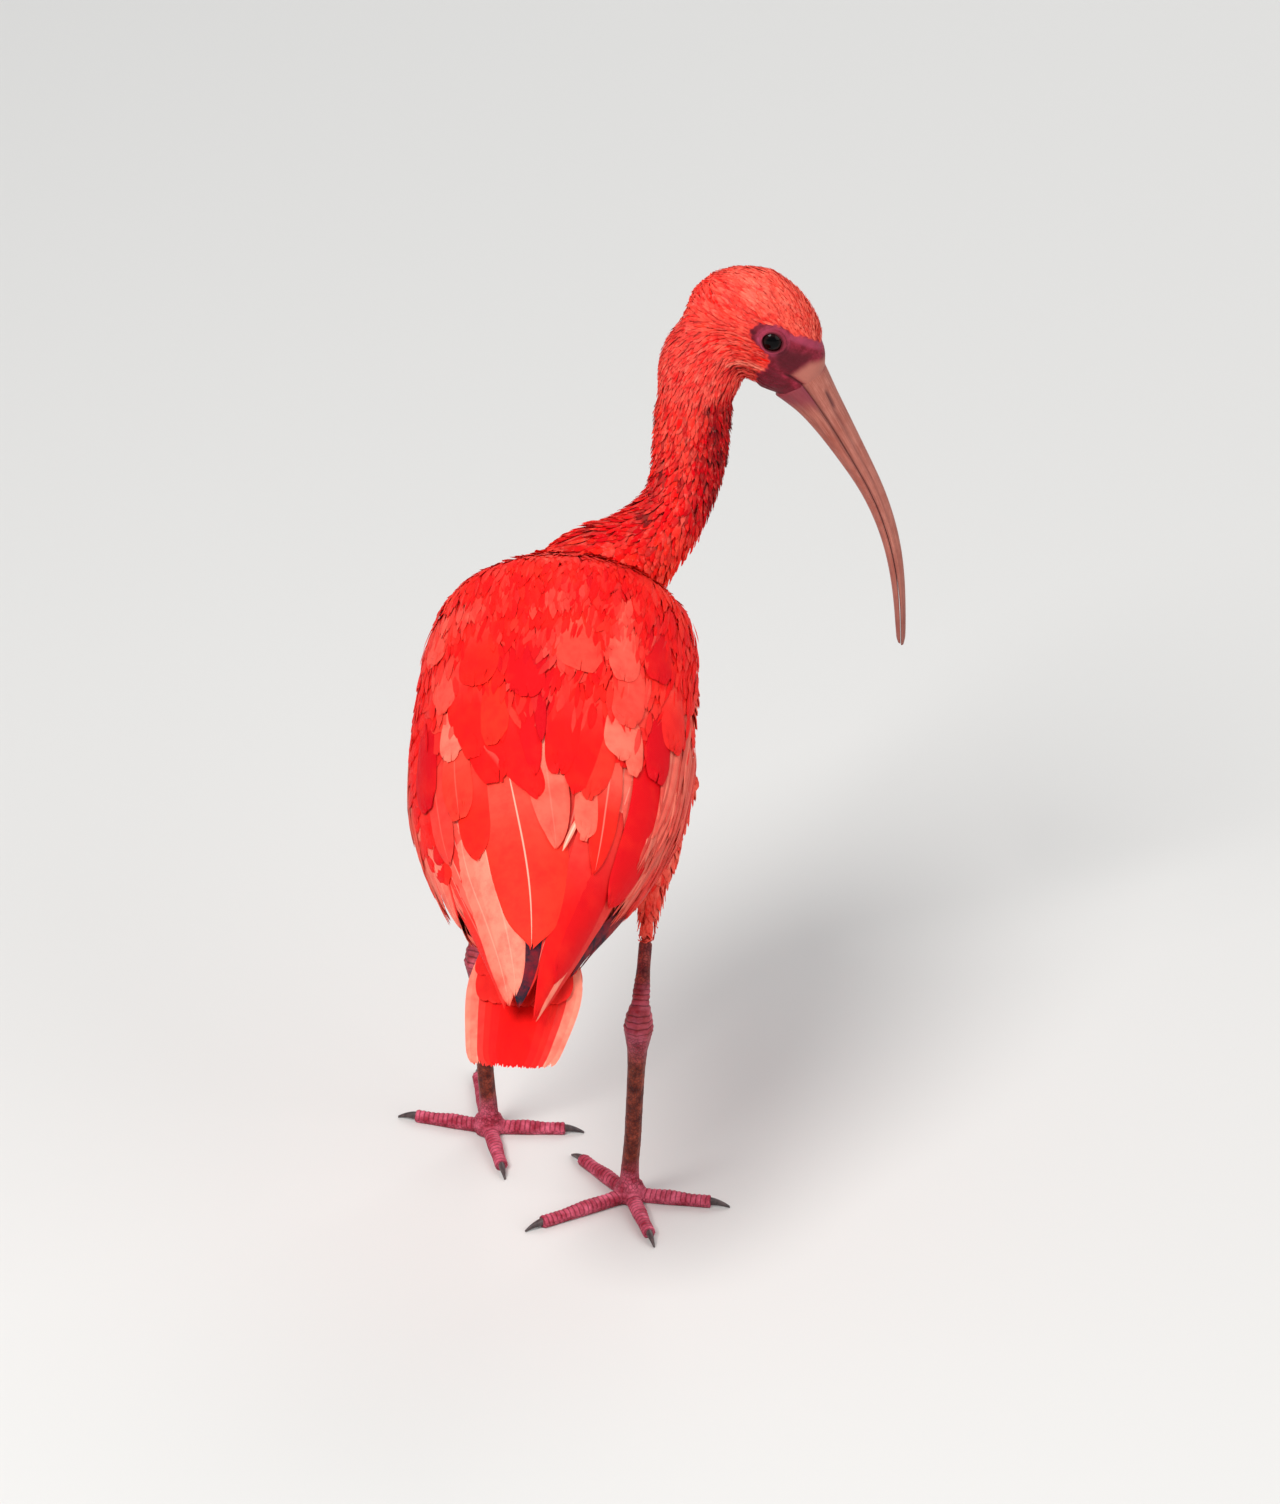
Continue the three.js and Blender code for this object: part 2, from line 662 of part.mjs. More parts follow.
// A small random number generator with a seed, so that the feathers vary the same way each time
let seed = SCATTER.seed;
function random() {
  seed = (seed * 16807) % 2147483647;
  return seed / 2147483647;
}
const scatter = (size) => size * (2 * random() - 1);

// The outline of a feather: how far along it, and its half width there as a share of the widest
const VANE = [
  { at: 0, wide: 0.75 },
  { at: 0.24, wide: 0.92 },
  { at: 0.48, wide: 1 },
  { at: 0.7, wide: 0.98 },
  { at: 0.88, wide: 0.8 },
  { at: 1, wide: 0.25 },
];

// A tier of feathers side by side over the plumage: thin arched sheets, tilted so that each inner one lies over
// the next. across turns a place along the body and a share into an angle, and within gives an angle's limits.
function tier({ count, root, tip, roots, tips, height, lap = FEATHER.lap }, across, within) {
  const last = VANE.length - 1;
  return Array.from({ length: count }, (_, i) => {
    const order = i / (count - 1);
    const from = THREE.MathUtils.lerp(...root, order) + scatter(SCATTER.along * 0.3);
    const to = THREE.MathUtils.lerp(...tip, order) + scatter(SCATTER.along);
    const girth = 1 + scatter(SCATTER.wide);
    return sheet(last, 2, (t, s, face) => {
      const station = VANE[Math.round(t * last)];
      const along = THREE.MathUtils.lerp(from, to, station.at);
      const first = THREE.MathUtils.lerp(roots[0], tips[0], station.at);
      const spacing = (THREE.MathUtils.lerp(roots[1], tips[1], station.at) - first) / (count - 1);
      const share = first + spacing * i;
      const [low, high] = within(along);
      const room = THREE.MathUtils.radToDeg(1 / Math.max(plumage.wide(along), 7));
      const middle = THREE.MathUtils.clamp(across(along, share), low + room, high - room);
      const pace = across(along, share + spacing) - across(along, share);
      const side = 2 * s - 1;
      const wanted = middle + (side * Math.abs(pace) * girth * station.wide * lap) / 2;
      const angle = THREE.MathUtils.clamp(wanted, low, high);
      const tilt = (FEATHER.step * (angle - middle)) / pace;
      const arch = FEATHER.crown * (1 - side ** 2) * station.wide;
      const thick = THREE.MathUtils.lerp(FEATHER.thick, FEATHER.tipThick, station.at ** 4);
      const lift = THREE.MathUtils.lerp(...height, station.at) + tilt + arch + face * thick;
      return overPlumage(along, angle, lift * thinning(along));
    });
  });
}

// Folded wings: the arm with its tiers of feathers, the primaries under them and the scapulars over them
const clear = (along) => THREE.MathUtils.radToDeg(0.4 / Math.max(plumage.wide(along), 3));
const inOrder = (a, b) => [Math.min(a, b), Math.max(a, b)];
for (const [side, sign] of Object.entries(SIDES)) {
  const edge = column(WING_EDGE[side], "turn");
  const acrossWing = (along, share) => sign * share * edge(along) + (1 - share) * meeting(along);
  const acrossBack = (along, share) => sign * share * scapularEdge(along);
  const inWing = (along) => inOrder(meeting(along) + sign * clear(along), sign * edge(along));
  const inCoverts = (along) => inOrder(sign * (scapularEdge(along) + BED_MARGIN), sign * edge(along));
  const onBack = (along) => inOrder(sign * clear(along), sign * scapularEdge(along));
  const block = { inner: () => sign * ARM.inner, outer: (along) => sign * edge(along), columns: 6, round: 0 };
  const covering = (along, angle) => {
    const covered = along < SCAPULARS.from + 8 && Math.abs(angle) < scapularEdge(along) + 8;
    return [ARM.bottom, covered ? ARM.top : ARM.bare];
  };
  const arm = patch({ ...block, from: ARM.from, to: ARM.elbow, layer: covering, rows: 4 });
  const rear = patch({ ...block, from: ARM.elbow + 1, to: ARM.to, layer: [ARM.bottom, ARM.rear], rows: 3 });
  const vanes = Object.entries(WING_TIERS).flatMap(([name, each]) =>
    tier(each, acrossWing, name.endsWith("coverts") ? inCoverts : inWing),
  );
  place(`wing_${side}`, largest(united([arm, rear, ...vanes])), 0xf0452f, 0.72);
  const hand = patch({
    from: PRIMARIES.root[0] + 14,
    to: PRIMARIES.root[0] - 6,
    inner: (along) => acrossWing(along, 0.25),
    outer: (along) => acrossWing(along, 0.9),
    layer: [PRIMARIES.height[0] - 0.5, PRIMARIES.height[0] + 1],
    rows: 2,
    columns: 5,
    round: 0,
  });
  const primaries = united([hand, ...tier(PRIMARIES, acrossWing, inWing)]);
  place(`primaries_${side}`, largest(primaries), 0x2a2430, 0.6);
  const shoulder = patch({
    from: SCAPULARS.from,
    to: SCAPULARS.to,
    inner: (along) => sign * clear(along),
    outer: (along) => sign * scapularEdge(along),
    layer: [SCAPULARS.bottom, SCAPULARS.top],
    rows: 4,
    columns: 4,
    round: 0,
  });
  const over = Object.values(SCAPULAR_TIERS).flatMap((each) => tier(each, acrossBack, onBack));
  place(`scapulars_${side}`, largest(united([shoulder, ...over])), 0xf5331d, 0.75);
}

// Tail, with its coverts above and below
const tailHalf = column(TAIL.rows, "half");
const tailMid = column(TAIL.rows, "mid");
const tailFrom = TAIL.rows[0].at;
const tailTo = TAIL.rows.at(-1).at;

// A point of the tail: a share of its half width to the right, and a height over its arched middle face
function inTail(along, share, height) {
  return inBody(along, tailMid(along) + share * tailHalf(along), TAIL.height - TAIL.arch * share ** 2 + height);
}

// One feather of the tail, with square shoulders. rise gives its height at a distance from its middle.
function tailFeather(from, to, middle, half, rise) {
  const last = VANE.length - 1;
  return sheet(last, 2, (t, s, face) => {
    const station = VANE[Math.round(t * last)];
    const side = 2 * s - 1;
    const offset = side * half * Math.min(1, station.wide + 0.4);
    const thick = THREE.MathUtils.lerp(FEATHER.thick, FEATHER.tipThick, station.at ** 4);
    const along = THREE.MathUtils.lerp(from, to, station.at);
    const share = middle * THREE.MathUtils.lerp(1, 0.96, station.at) + offset;
    const arch = FEATHER.crown * (1 - side ** 2);
    return inTail(along, share, rise(offset) + arch + (face - 0.5) * thick);
  });
}

// The middle feather on the right lies flat over the rest. Each further one lies under its inner neighbour.
function makeTail() {
  const spacing = 2 / TAIL.feathers;
  const half = (spacing * TAIL.lap) / 2;
  const vanes = [];
  for (const [side, sign] of Object.entries(SIDES))
    for (let i = 0; i < TAIL.feathers / 2; i++) {
      const flat = i === 0 && side === "right";
      const middle = Math.min((i + 0.5) * spacing, 1 - half);
      const rise = (offset) => (flat ? TAIL.step * 0.9 : (TAIL.step * sign * offset) / spacing);
      const to = tailTo + i * 0.8 + scatter(SCATTER.along * 0.3);
      const inner = i === 0 && !flat ? spacing * 0.2 : 0;
      vanes.push(tailFeather(tailFrom, to, sign * (middle + inner), half - inner, rise));
    }
  const { to, top, bottom } = TAIL.base;
  const base = sheet(1, 4, (t, s, face) => {
    const along = THREE.MathUtils.lerp(tailFrom, to, t);
    return inTail(along, 0.94 * (2 * s - 1), (face ? top : bottom) - TAIL.height);
  });
  return united([base, ...vanes]);
}

function makeOverTail() {
  const gap = TAIL.base.top - TAIL.height + 2 * SEAM;
  const base = sheet(3, 6, (t, s, face) => {
    const along = THREE.MathUtils.lerp(tailFrom, OVER_TAIL.to, t);
    const angle = 80 * (2 * s - 1);
    const top = overPlumage(along, angle, OVER_TAIL.depth);
    if (face) return top;
    const aside = top.clone().sub(inBody(along, tailMid(along), 0)).dot(X);
    return inTail(along, aside / tailHalf(along), gap);
  });
  return united([base, ...tailCoverts(OVER_TAIL, OVER_TAIL.half, gap + 0.7, 1)]);
}

function makeUnderTail() {
  const gap = TAIL.base.bottom - TAIL.height - 2 * SEAM;
  const base = sheet(3, 6, (t, s, face) => {
    const along = THREE.MathUtils.lerp(tailFrom, UNDER_TAIL.to, t);
    const side = 2 * s - 1;
    const half = THREE.MathUtils.lerp(tailHalf(tailFrom), UNDER_TAIL.half, t ** 2);
    const share = (side * half) / tailHalf(along);
    const depth = THREE.MathUtils.lerp(...UNDER_TAIL.depth, t) * Math.sqrt(1 - 0.9 * side ** 2);
    return inTail(along, share, face ? gap : gap - depth);
  });
  return united([base, ...tailCoverts(UNDER_TAIL, UNDER_TAIL.spread, gap - 0.9, -1)]);
}

// A fan of coverts lying along the tail at a height over it, the middle ones outermost
function tailCoverts({ to, feathers, tips }, spread, height, up) {
  const spacing = (2 * spread) / (feathers - 1);
  return Array.from({ length: feathers }, (_, i) => {
    const middle = -spread + spacing * i;
    const tip = tips + 9 * Math.abs(middle) + scatter(SCATTER.along * 0.4);
    const lean = Math.sign(middle) * up;
    const rise = (offset) => height + (TAIL.step * lean * offset) / spacing + (middle === 0 ? up * TAIL.step : 0);
    return tailFeather(to + 12, tip, middle, (spacing * TAIL.lap) / 2, rise);
  });
}

const aheadOfRump = beyond(inBody(RUMP_AT - SEAM, 0, 0), ALONG);
const behindRump = (made) => largest(made.subtract(aheadOfRump));
place("tail_feathers", makeTail(), 0xff6a4c, 0.7);
place("tail_coverts_upper", behindRump(makeOverTail()), 0xf2331f, 0.75);
place("tail_coverts_lower", behindRump(makeUnderTail()), 0xf2604a, 0.75);

// Legs and feet, each standing on small flats at the level of the floor
const floorBelow = beyond(v3(0, 0, 0), v3(0, 0, -1));
const grownBody = makeBody(RUMP_AT, SEAM);

function makeToe(hub, degrees, length, hubSolid) {
  const way = v3(Math.sin(rad(degrees)), Math.cos(rad(degrees)), 0);
  const knuckles = 2;
  const steps = 4;
  const stations = [];
  for (let i = 0; i <= steps; i++) {
    const t = i / steps;
    const half = THREE.MathUtils.lerp(TOE.root, TOE.end, t) * (1 + 0.06 * Math.cos(2 * Math.PI * knuckles * t));
    const at = hub.clone().setZ(0).addScaledVector(way, length * t);
    stations.push([at.x, at.y, half * TOE.lift, half, half]);
  }
  const toe = limb(stations, Z, 8, steps).subtract(floorBelow).subtract(hubSolid);
  const root = hub.clone().setZ(0).addScaledVector(way, length + 1.8 * SEAM);
  const claw = [0, 0.35, 0.7, 1].map((t) => {
    const half = THREE.MathUtils.lerp(CLAW.half, CLAW.tip, t ** 1.4);
    const at = root.clone().addScaledVector(way, CLAW.length * t);
    return [at.x, at.y, THREE.MathUtils.lerp(TOE.end * TOE.lift + 0.4, CLAW.tip + 0.1, t ** 2), half * 0.8, half];
  });
  return { toe: largest(toe), claw: largest(limb(claw, Z, 6, 4).subtract(floorBelow)) };
}

for (const side of Object.keys(SIDES)) {
  const { thigh, hock, foot } = LEGS[side];
  const cuff = v3(...thigh.at(-1));
  const knee = v3(...hock);
  const hub = v3(foot[0], foot[1], HUB.height);
  const back = v3(0, -1, 0);
  const thighSolid = limb(thigh, back, 12, 5).subtract(grownBody);
  const shin = knee.clone().sub(cuff).normalize();
  const knobTop = knee.clone().addScaledVector(shin, -TARSUS.knob * 1.5);
  const shankFrom = cuff.clone().addScaledVector(shin, SEAM);
  const shankStations = [
    [...shankFrom, SHANK.half],
    [...knobTop, SHANK.half],
  ];
  const shank = limb(shankStations, back, 8, 2).subtract(limb(grownStations(thigh), back, 12, 5));
  const down = hub.clone().sub(knee).normalize();
  const below = (distance) => knee.clone().addScaledVector(down, distance);
  const tarsusStations = [
    [...knobTop.clone().addScaledVector(shin, SEAM), SHANK.half, SHANK.half],
    [...knee.clone().addScaledVector(shin, -TARSUS.knob * 0.8), TARSUS.knob * 0.7, TARSUS.knob * 0.7],
    [...below(0), TARSUS.knob, TARSUS.knob * 1.05],
    [...below(9), TARSUS.knob * 0.8, TARSUS.knob * 0.95],
    [...below(18), TARSUS.half * 1.1, TARSUS.deep],
    [...below(40), TARSUS.half, TARSUS.deep],
    [...below(70), TARSUS.half, TARSUS.deep],
    [...hub.clone().setZ(16), TARSUS.half * 1.05, TARSUS.deep],
    [...hub.clone().setZ(7), HUB.radius * 0.7, HUB.radius * 0.75],
  ];
  const grownHub = ball(hub, HUB.radius + SEAM, 10).subtract(floorBelow);
  const tarsus = largest(limb(tarsusStations, back, 8, 11).subtract(grownHub));
  place(`thigh_${side}`, largest(thighSolid), 0xe8402e, 0.8);
  place(`shank_${side}`, largest(shank), 0x8a3434, 0.6);
  place(`tarsus_${side}`, tarsus, 0x8a3434, 0.6);
  place(`foot_${side}`, largest(ball(hub, HUB.radius, 10).subtract(floorBelow)), 0x98394a, 0.6);
  for (const [name, [degrees, length]] of Object.entries(TOES[side])) {
    const { toe, claw } = makeToe(hub, degrees, length, grownHub);
    place(`toe_${name}_${side}`, toe, 0x98394a, 0.6);
    place(`claw_${name}_${side}`, claw, 0x2b2124, 0.45);
  }
}

centre();

export default group;
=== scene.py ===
# A life-size scarlet ibis, standing and looking over its right shoulder.
# Shapes are worked out in millimetres in the bird's own frame and moved into the part's frame, in metres.
import math
from functools import partial
import bmesh
import bpy
import numpy as np
from mathutils import Matrix, Vector
from mathutils.bvhtree import BVHTree


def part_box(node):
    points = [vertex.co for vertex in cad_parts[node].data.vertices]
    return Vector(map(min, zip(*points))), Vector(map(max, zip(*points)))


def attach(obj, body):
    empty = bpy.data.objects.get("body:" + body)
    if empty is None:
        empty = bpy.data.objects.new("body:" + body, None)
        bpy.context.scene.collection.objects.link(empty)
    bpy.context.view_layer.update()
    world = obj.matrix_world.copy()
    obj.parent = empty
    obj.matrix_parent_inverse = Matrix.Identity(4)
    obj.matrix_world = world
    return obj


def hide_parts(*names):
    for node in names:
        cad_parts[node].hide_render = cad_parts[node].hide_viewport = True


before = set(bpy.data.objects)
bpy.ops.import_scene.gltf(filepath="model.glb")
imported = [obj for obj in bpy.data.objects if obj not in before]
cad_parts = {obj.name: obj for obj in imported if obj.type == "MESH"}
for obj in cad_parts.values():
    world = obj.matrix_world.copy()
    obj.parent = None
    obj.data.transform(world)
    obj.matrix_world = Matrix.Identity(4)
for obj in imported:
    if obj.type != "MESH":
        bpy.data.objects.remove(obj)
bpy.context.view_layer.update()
SEED = 11
rng = np.random.default_rng(SEED)

# Body: an axis pitched up towards the breast. Each row is a section of the plumage's outer surface at a place
# along the axis: half width, how far its centre rises off the axis, and its height above and below that.
BODY_PITCH = 24
BODY_CENTRE = (-1.6, -14, 207.5)
PLUMAGE = [
    (118, 0, 2, 0, 0),
    (112, 21.5, 2, 15, 20),
    (96, 38, 1, 32, 39),
    (72, 58, 0, 49.3, 51),
    (40, 63, 0, 52, 54),
    (10, 63.5, 0, 50.5, 53),
    (-25, 60.5, 0, 47, 46),
    (-55, 52, 2, 41.5, 36),
    (-82, 40, 5, 34.5, 26),
    (-105, 27.5, 8, 26, 16),
    (-127, 17, 10, 17, 9),
    (-146, 9.5, 12, 9.5, 5),
    (-166, 0, 14, 0, 0),
]
RUMP_AT = -98
# Degrees to the right of the back's middle where the wings meet, and their lower edges on each side
MEETING = [(70, 0), (-15, 0), (-60, 11), (-105, 13), (-149, 4)]
WING_EDGE = {
    "left": [(80, 80), (40, 92), (-60, 92), (-110, 88), (-149, 88)],
    "right": [(80, 80), (32, 78), (-10, 56), (-48, 52), (-89, 58), (-127, 78), (-149, 88)],
}
SIDES = {"left": -1, "right": 1}
# How far the skin lies under the plumage: over the body, under the wings, on neck, thighs, head and bare face
COAT = {"body": 6, "wing": 7, "neck": 3, "thigh": 3, "head": 1.5, "face": 0.3}

# Head: turned to the right and dipped. The brow point lies between the eyes.
BROW = (84.9, 104, 365)
HEAD_TURN = 84.5
HEAD_DIP = 45
HEAD = [
    (-39.5, 0, -11, 0, 0),
    (-36, 7.5, -11, 10, 10),
    (-29, 13.8, -9, 19.2, 17.5),
    (-17, 17, -5, 23.2, 20),
    (-6, 16.6, -5, 24.5, 21),
    (4, 15, -5, 22.8, 22),
    (13, 12.8, -6, 20.2, 20),
    (21, 10.8, -7, 15.4, 15.8),
    (28, 9.6, -7.5, 10.4, 13),
]
# The nape, where the skin is eased between crown and neck
NAPE = {"ahead": -36, "above": -20, "reach": 17, "easing": 70}
EYE = {"ahead": -1.5, "above": -1.8, "aside": 11, "radius": 6}
BILL = {"ahead": 25, "above": -9.4, "length": 140}
# How steeply the bill dips below the level at a distance from its root
BILL_DIP = [(0, 55.5), (25, 61), (50, 62.5), (75, 71), (100, 80), (125, 87), (140, 89)]
# Along the bill: half width, depth of the upper half and of the lower half
BILL_ROWS = [
    (0, 9.2, 11.5, 14),
    (15, 7.8, 8.9, 9.8),
    (35, 6, 7.2, 6.8),
    (60, 4.8, 5.6, 4.5),
    (90, 3.8, 4.2, 3.1),
    (120, 3.2, 2.6, 2.4),
    (136, 2.8, 2, 1.8),
    (140, 1.6, 1.2, 0.8),
]
# The neck from inside the breast to inside the skull: x, y, z, half width, half depth
NECK = [
    (1.4, 62, 243.5, 32, 30),
    (11.4, 76, 252.5, 29, 26.5),
    (27.9, 88, 264.5, 24, 19.3),
    (42.7, 97, 282.5, 19.5, 16.2),
    (47.4, 101.5, 304.5, 17.8, 17.7),
    (48.9, 102, 327.5, 18, 18.2),
    (52.4, 102.5, 345.5, 17.5, 20.9),
    (60.9, 103, 362.5, 16, 20),
    (66.4, 103.5, 371.5, 13, 15),
]
# The heights between which the neck starts, and the head, and the middle of the neck: x, y
NECK_FROM = (262, 288)
HEAD_FROM = (330, 342)
NECK_MIDDLE = (47.4, 100)
# Legs: stations of the feathered thigh as x, y, z and half width, then the hock and the middle of the foot
LEGS = {
    "left": {
        "thigh": [
            (-32.6, 42, 195.5, 24),
            (-34.6, 43, 167.5, 17),
            (-36.1, 39, 144.5, 9),
            (-36.6, 29, 126.5, 4.4),
        ],
        "hock": (-36.6, 8, 98.5),
        "foot": (-35, 25.6),
    },
    "right": {
        "thigh": [
            (37.4, 4, 192.5, 24),
            (39.4, 2, 165.5, 15),
            (40.2, -8, 142.5, 8),
            (39.6, -20, 126.5, 4.4),
        ],
        "hock": (38.7, -43, 98.5),
        "foot": (33.2, -26.5),
    },
}
# Claws: half width at root and tip, and length. Toe ends: half width, and depth as a share of it.
CLAW = {"half": 1.9, "tip": 0.5, "length": 8.5}
TOE_END = {"half": 2.7, "lift": 0.85}
# Toes: heading in degrees clockwise from +Y, and length from the middle of the foot to the root of the claw
TOES = {
    "left": {"outer": (-78, 34), "middle": (-12, 46), "inner": (86, 34), "hallux": (164, 34)},
    "right": {"outer": (94, 36), "middle": (-40, 37), "inner": (-127, 45), "hallux": (160, 34)},
}
# The rings of scutes on toes and hocks are this far apart
RING = 2.2
# How far the skin of the legs stands over the solid limbs
LEG_SKIN = 0.25
# Skins are built from voxels of these sizes and eased smooth this many times
SKIN_VOXELS = {"voxel": 1.5, "easing": 8}
LEG_VOXELS = {"voxel": 0.6, "easing": 6}

# The bare skin of the face, the dark lore in it and the horn at the gape: ahead of the brow and above it
BARE_FACE = [(-12.8, -4.6), (-11.6, 0.6), (-7.5, 4.2), (-3, 5.6), (4.8, 6.4), (8, 8.1), (15.4, 9.6), (20, 9),
             (27, 7), (36, 0), (36, -32), (14, -27), (10.4, -23), (6.3, -19.5), (6.8, -13.5), (4.5, -9.3),
             (1.4, -8.1), (-3.6, -8), (-10.4, -6.6)]
DARK_LORE = [(4.5, -0.5), (9, 1), (17, 3.4), (18.5, 0.5), (17, -4), (16, -8.6), (9, -9.4), (5.6, -8),
             (4, -4.5)]
HORN_ROOT = [(24.4, 5.6), (21.6, 3.2), (18.8, 1), (17.6, -3.4), (17, -8.6), (30, -8.6), (32, 4)]

# Patches on the back: where along the body and round it, how far they reach in mm and degrees, and how much
# they shift the tone from crimson (0) to orange (1) and the paleness
BACK_PATCHES = [
    # The first two shift the back's middle towards crimson as painted shade round the parting between its
    # sides
    (12, -8, 11, 9, -0.45, 0),
    (-12, -1, 12, 4, -0.6, 0),
    (17, 8, 7, 9, 0, 0.45),
    (27, 28, 10, 7, 0.1, 0.5),
    (34, 47, 10, 8, -0.45, 0),
    (3, 36, 12, 10, 0.1, 0.45),
    (-14, 51, 11, 7, -0.5, 0),
    (46, -58, 13, 15, 0.1, 0.3),
    (-20, -57, 15, 7, -0.4, 0),
    (-12, -42, 9, 7, 0.1, 0.45),
    (10, -50, 10, 7, 0, 0.4),
    (48, 2, 6, 6, 0, 0.3),
    (44, 28, 5, 5, 0, 0.35),
    (77, -8, 6, 8, 0, 0.25),
    (45, -37, 6, 9, 0, 0.3),
    (62, 20, 12, 20, -0.25, 0),
    (66, -30, 10, 16, -0.2, 0),
]
PATCH_PALENESS = 0.65

# Lamps: where they stand, in metres, how wide they are and their power
LAMPS = [
    ("key", (-0.9, -1.6, 2.3), 1.2, 66),
    ("fill", (1.9, -1.2, 1.3), 2.0, 20),
    ("back", (0.6, 2.2, 1.9), 2.0, 22),
]
DAYLIGHT = 0.56

# The camera stands at the photograph's angle: bearing and dip in degrees, distance, millimetres per pixel and
# the place that it aims at, then its sensor's width. Half the floor's side and the lamps' aim are in metres.
VIEW = {"bearing": -5.5, "dip": 28, "distance": 4000, "scale": 0.4425, "aim": (26.6, 88.8, 161.4)}
FRAME_PIXELS = (1280, 1504)
SENSOR = 36
FLOOR_HALF = 6.0
LAMPS_AIM = (0, 0, 0.2)

# The line of the mouth: how far below the brow and ahead of it its corner is, its slope, and how deep it is
MOUTH = {"below": 9.4, "corner": 17, "slope": 0.05, "deep": 0.7}
# Folds round the eye, lines on the lore and the eye's socket, all in the bare skin
EYE_FOLDS = {"from": 5.6, "apart": 1.5, "deep": 0.16}
LORE_LINES = {"apart": 1.9, "deep": 0.09}
SOCKET_DEPTH = 2.5
# Lids: how far their rim is from the eye's middle, how far out and how thick, and how much longer than high
LIDS = {"reach": 4.95, "out": 4.15, "thick": 0.85, "longer": 1.08}
# The bill's horn starts this far inside the face, and its halves are this far from the line between them
BILL_INSIDE = 4
BILL_GAP = 0.12
# How high the rings of scutes stand, and how much the hock swells
SCUTE_HEIGHT = 0.16
HOCK_SWELL = 0.8

# How thick large and small feathers are, from which angle in radians their edges are sharp, and how large a
# feather is on its unwrap
VANE_THICK = 0.2
TUFT_THICK = 0.12
SHARP_FROM = 1.5
PATCH_SIZE = 0.0015

# The outlines of feathers: how wide at shares of the length
ROUND_TIP = [(0, 0.3), (0.15, 0.62), (0.4, 0.92), (0.65, 1), (0.82, 0.9), (0.93, 0.62), (1, 0.08)]
LONG_VANE = [(0, 0.5), (0.1, 0.75), (0.35, 0.95), (0.62, 1), (0.82, 0.82), (0.94, 0.48), (1, 0.06)]
POINTED = [(0, 0.5), (0.1, 0.78), (0.35, 1), (0.58, 0.97), (0.8, 0.72), (0.93, 0.38), (1, 0.05)]
SQUARE_TIP = [(0, 0.6), (0.2, 0.8), (0.6, 1), (0.88, 0.98), (0.96, 0.8), (1, 0.3)]
PLUME = [(0, 0.4), (0.2, 0.9), (0.5, 1), (0.8, 0.55), (1, 0.05)]
TUFT = [(0, 0.5), (0.3, 1), (0.7, 0.85), (1, 0.12)]

# Where along the body the rows of wing coverts start
COVERT_ROWS = np.arange(-58, 92, 6.2)

# The dark tips of the longest flight feathers: root, tip, bend, half width and height at the tip
DARK_TIPS = {
    "left": [
        ((-60, 10), (-144, 5), 0, 8, -0.6),
        ((-50, -8), (-141, -18), 0, 6, -1.4),
        ((-40, -22), (-133, -34), 0, 6, -1.8),
        ((-34, -36), (-124, -50), 0, 6, -2.2),
    ],
    "right": [
        ((-40, 78), (-112, 106), 4, 5.5, -0.7),
        ((-44, 68), (-119, 97), 4, 5.5, -1.2),
        ((-44, 46), (-130, 74), 4, 6, -1.8),
    ],
}

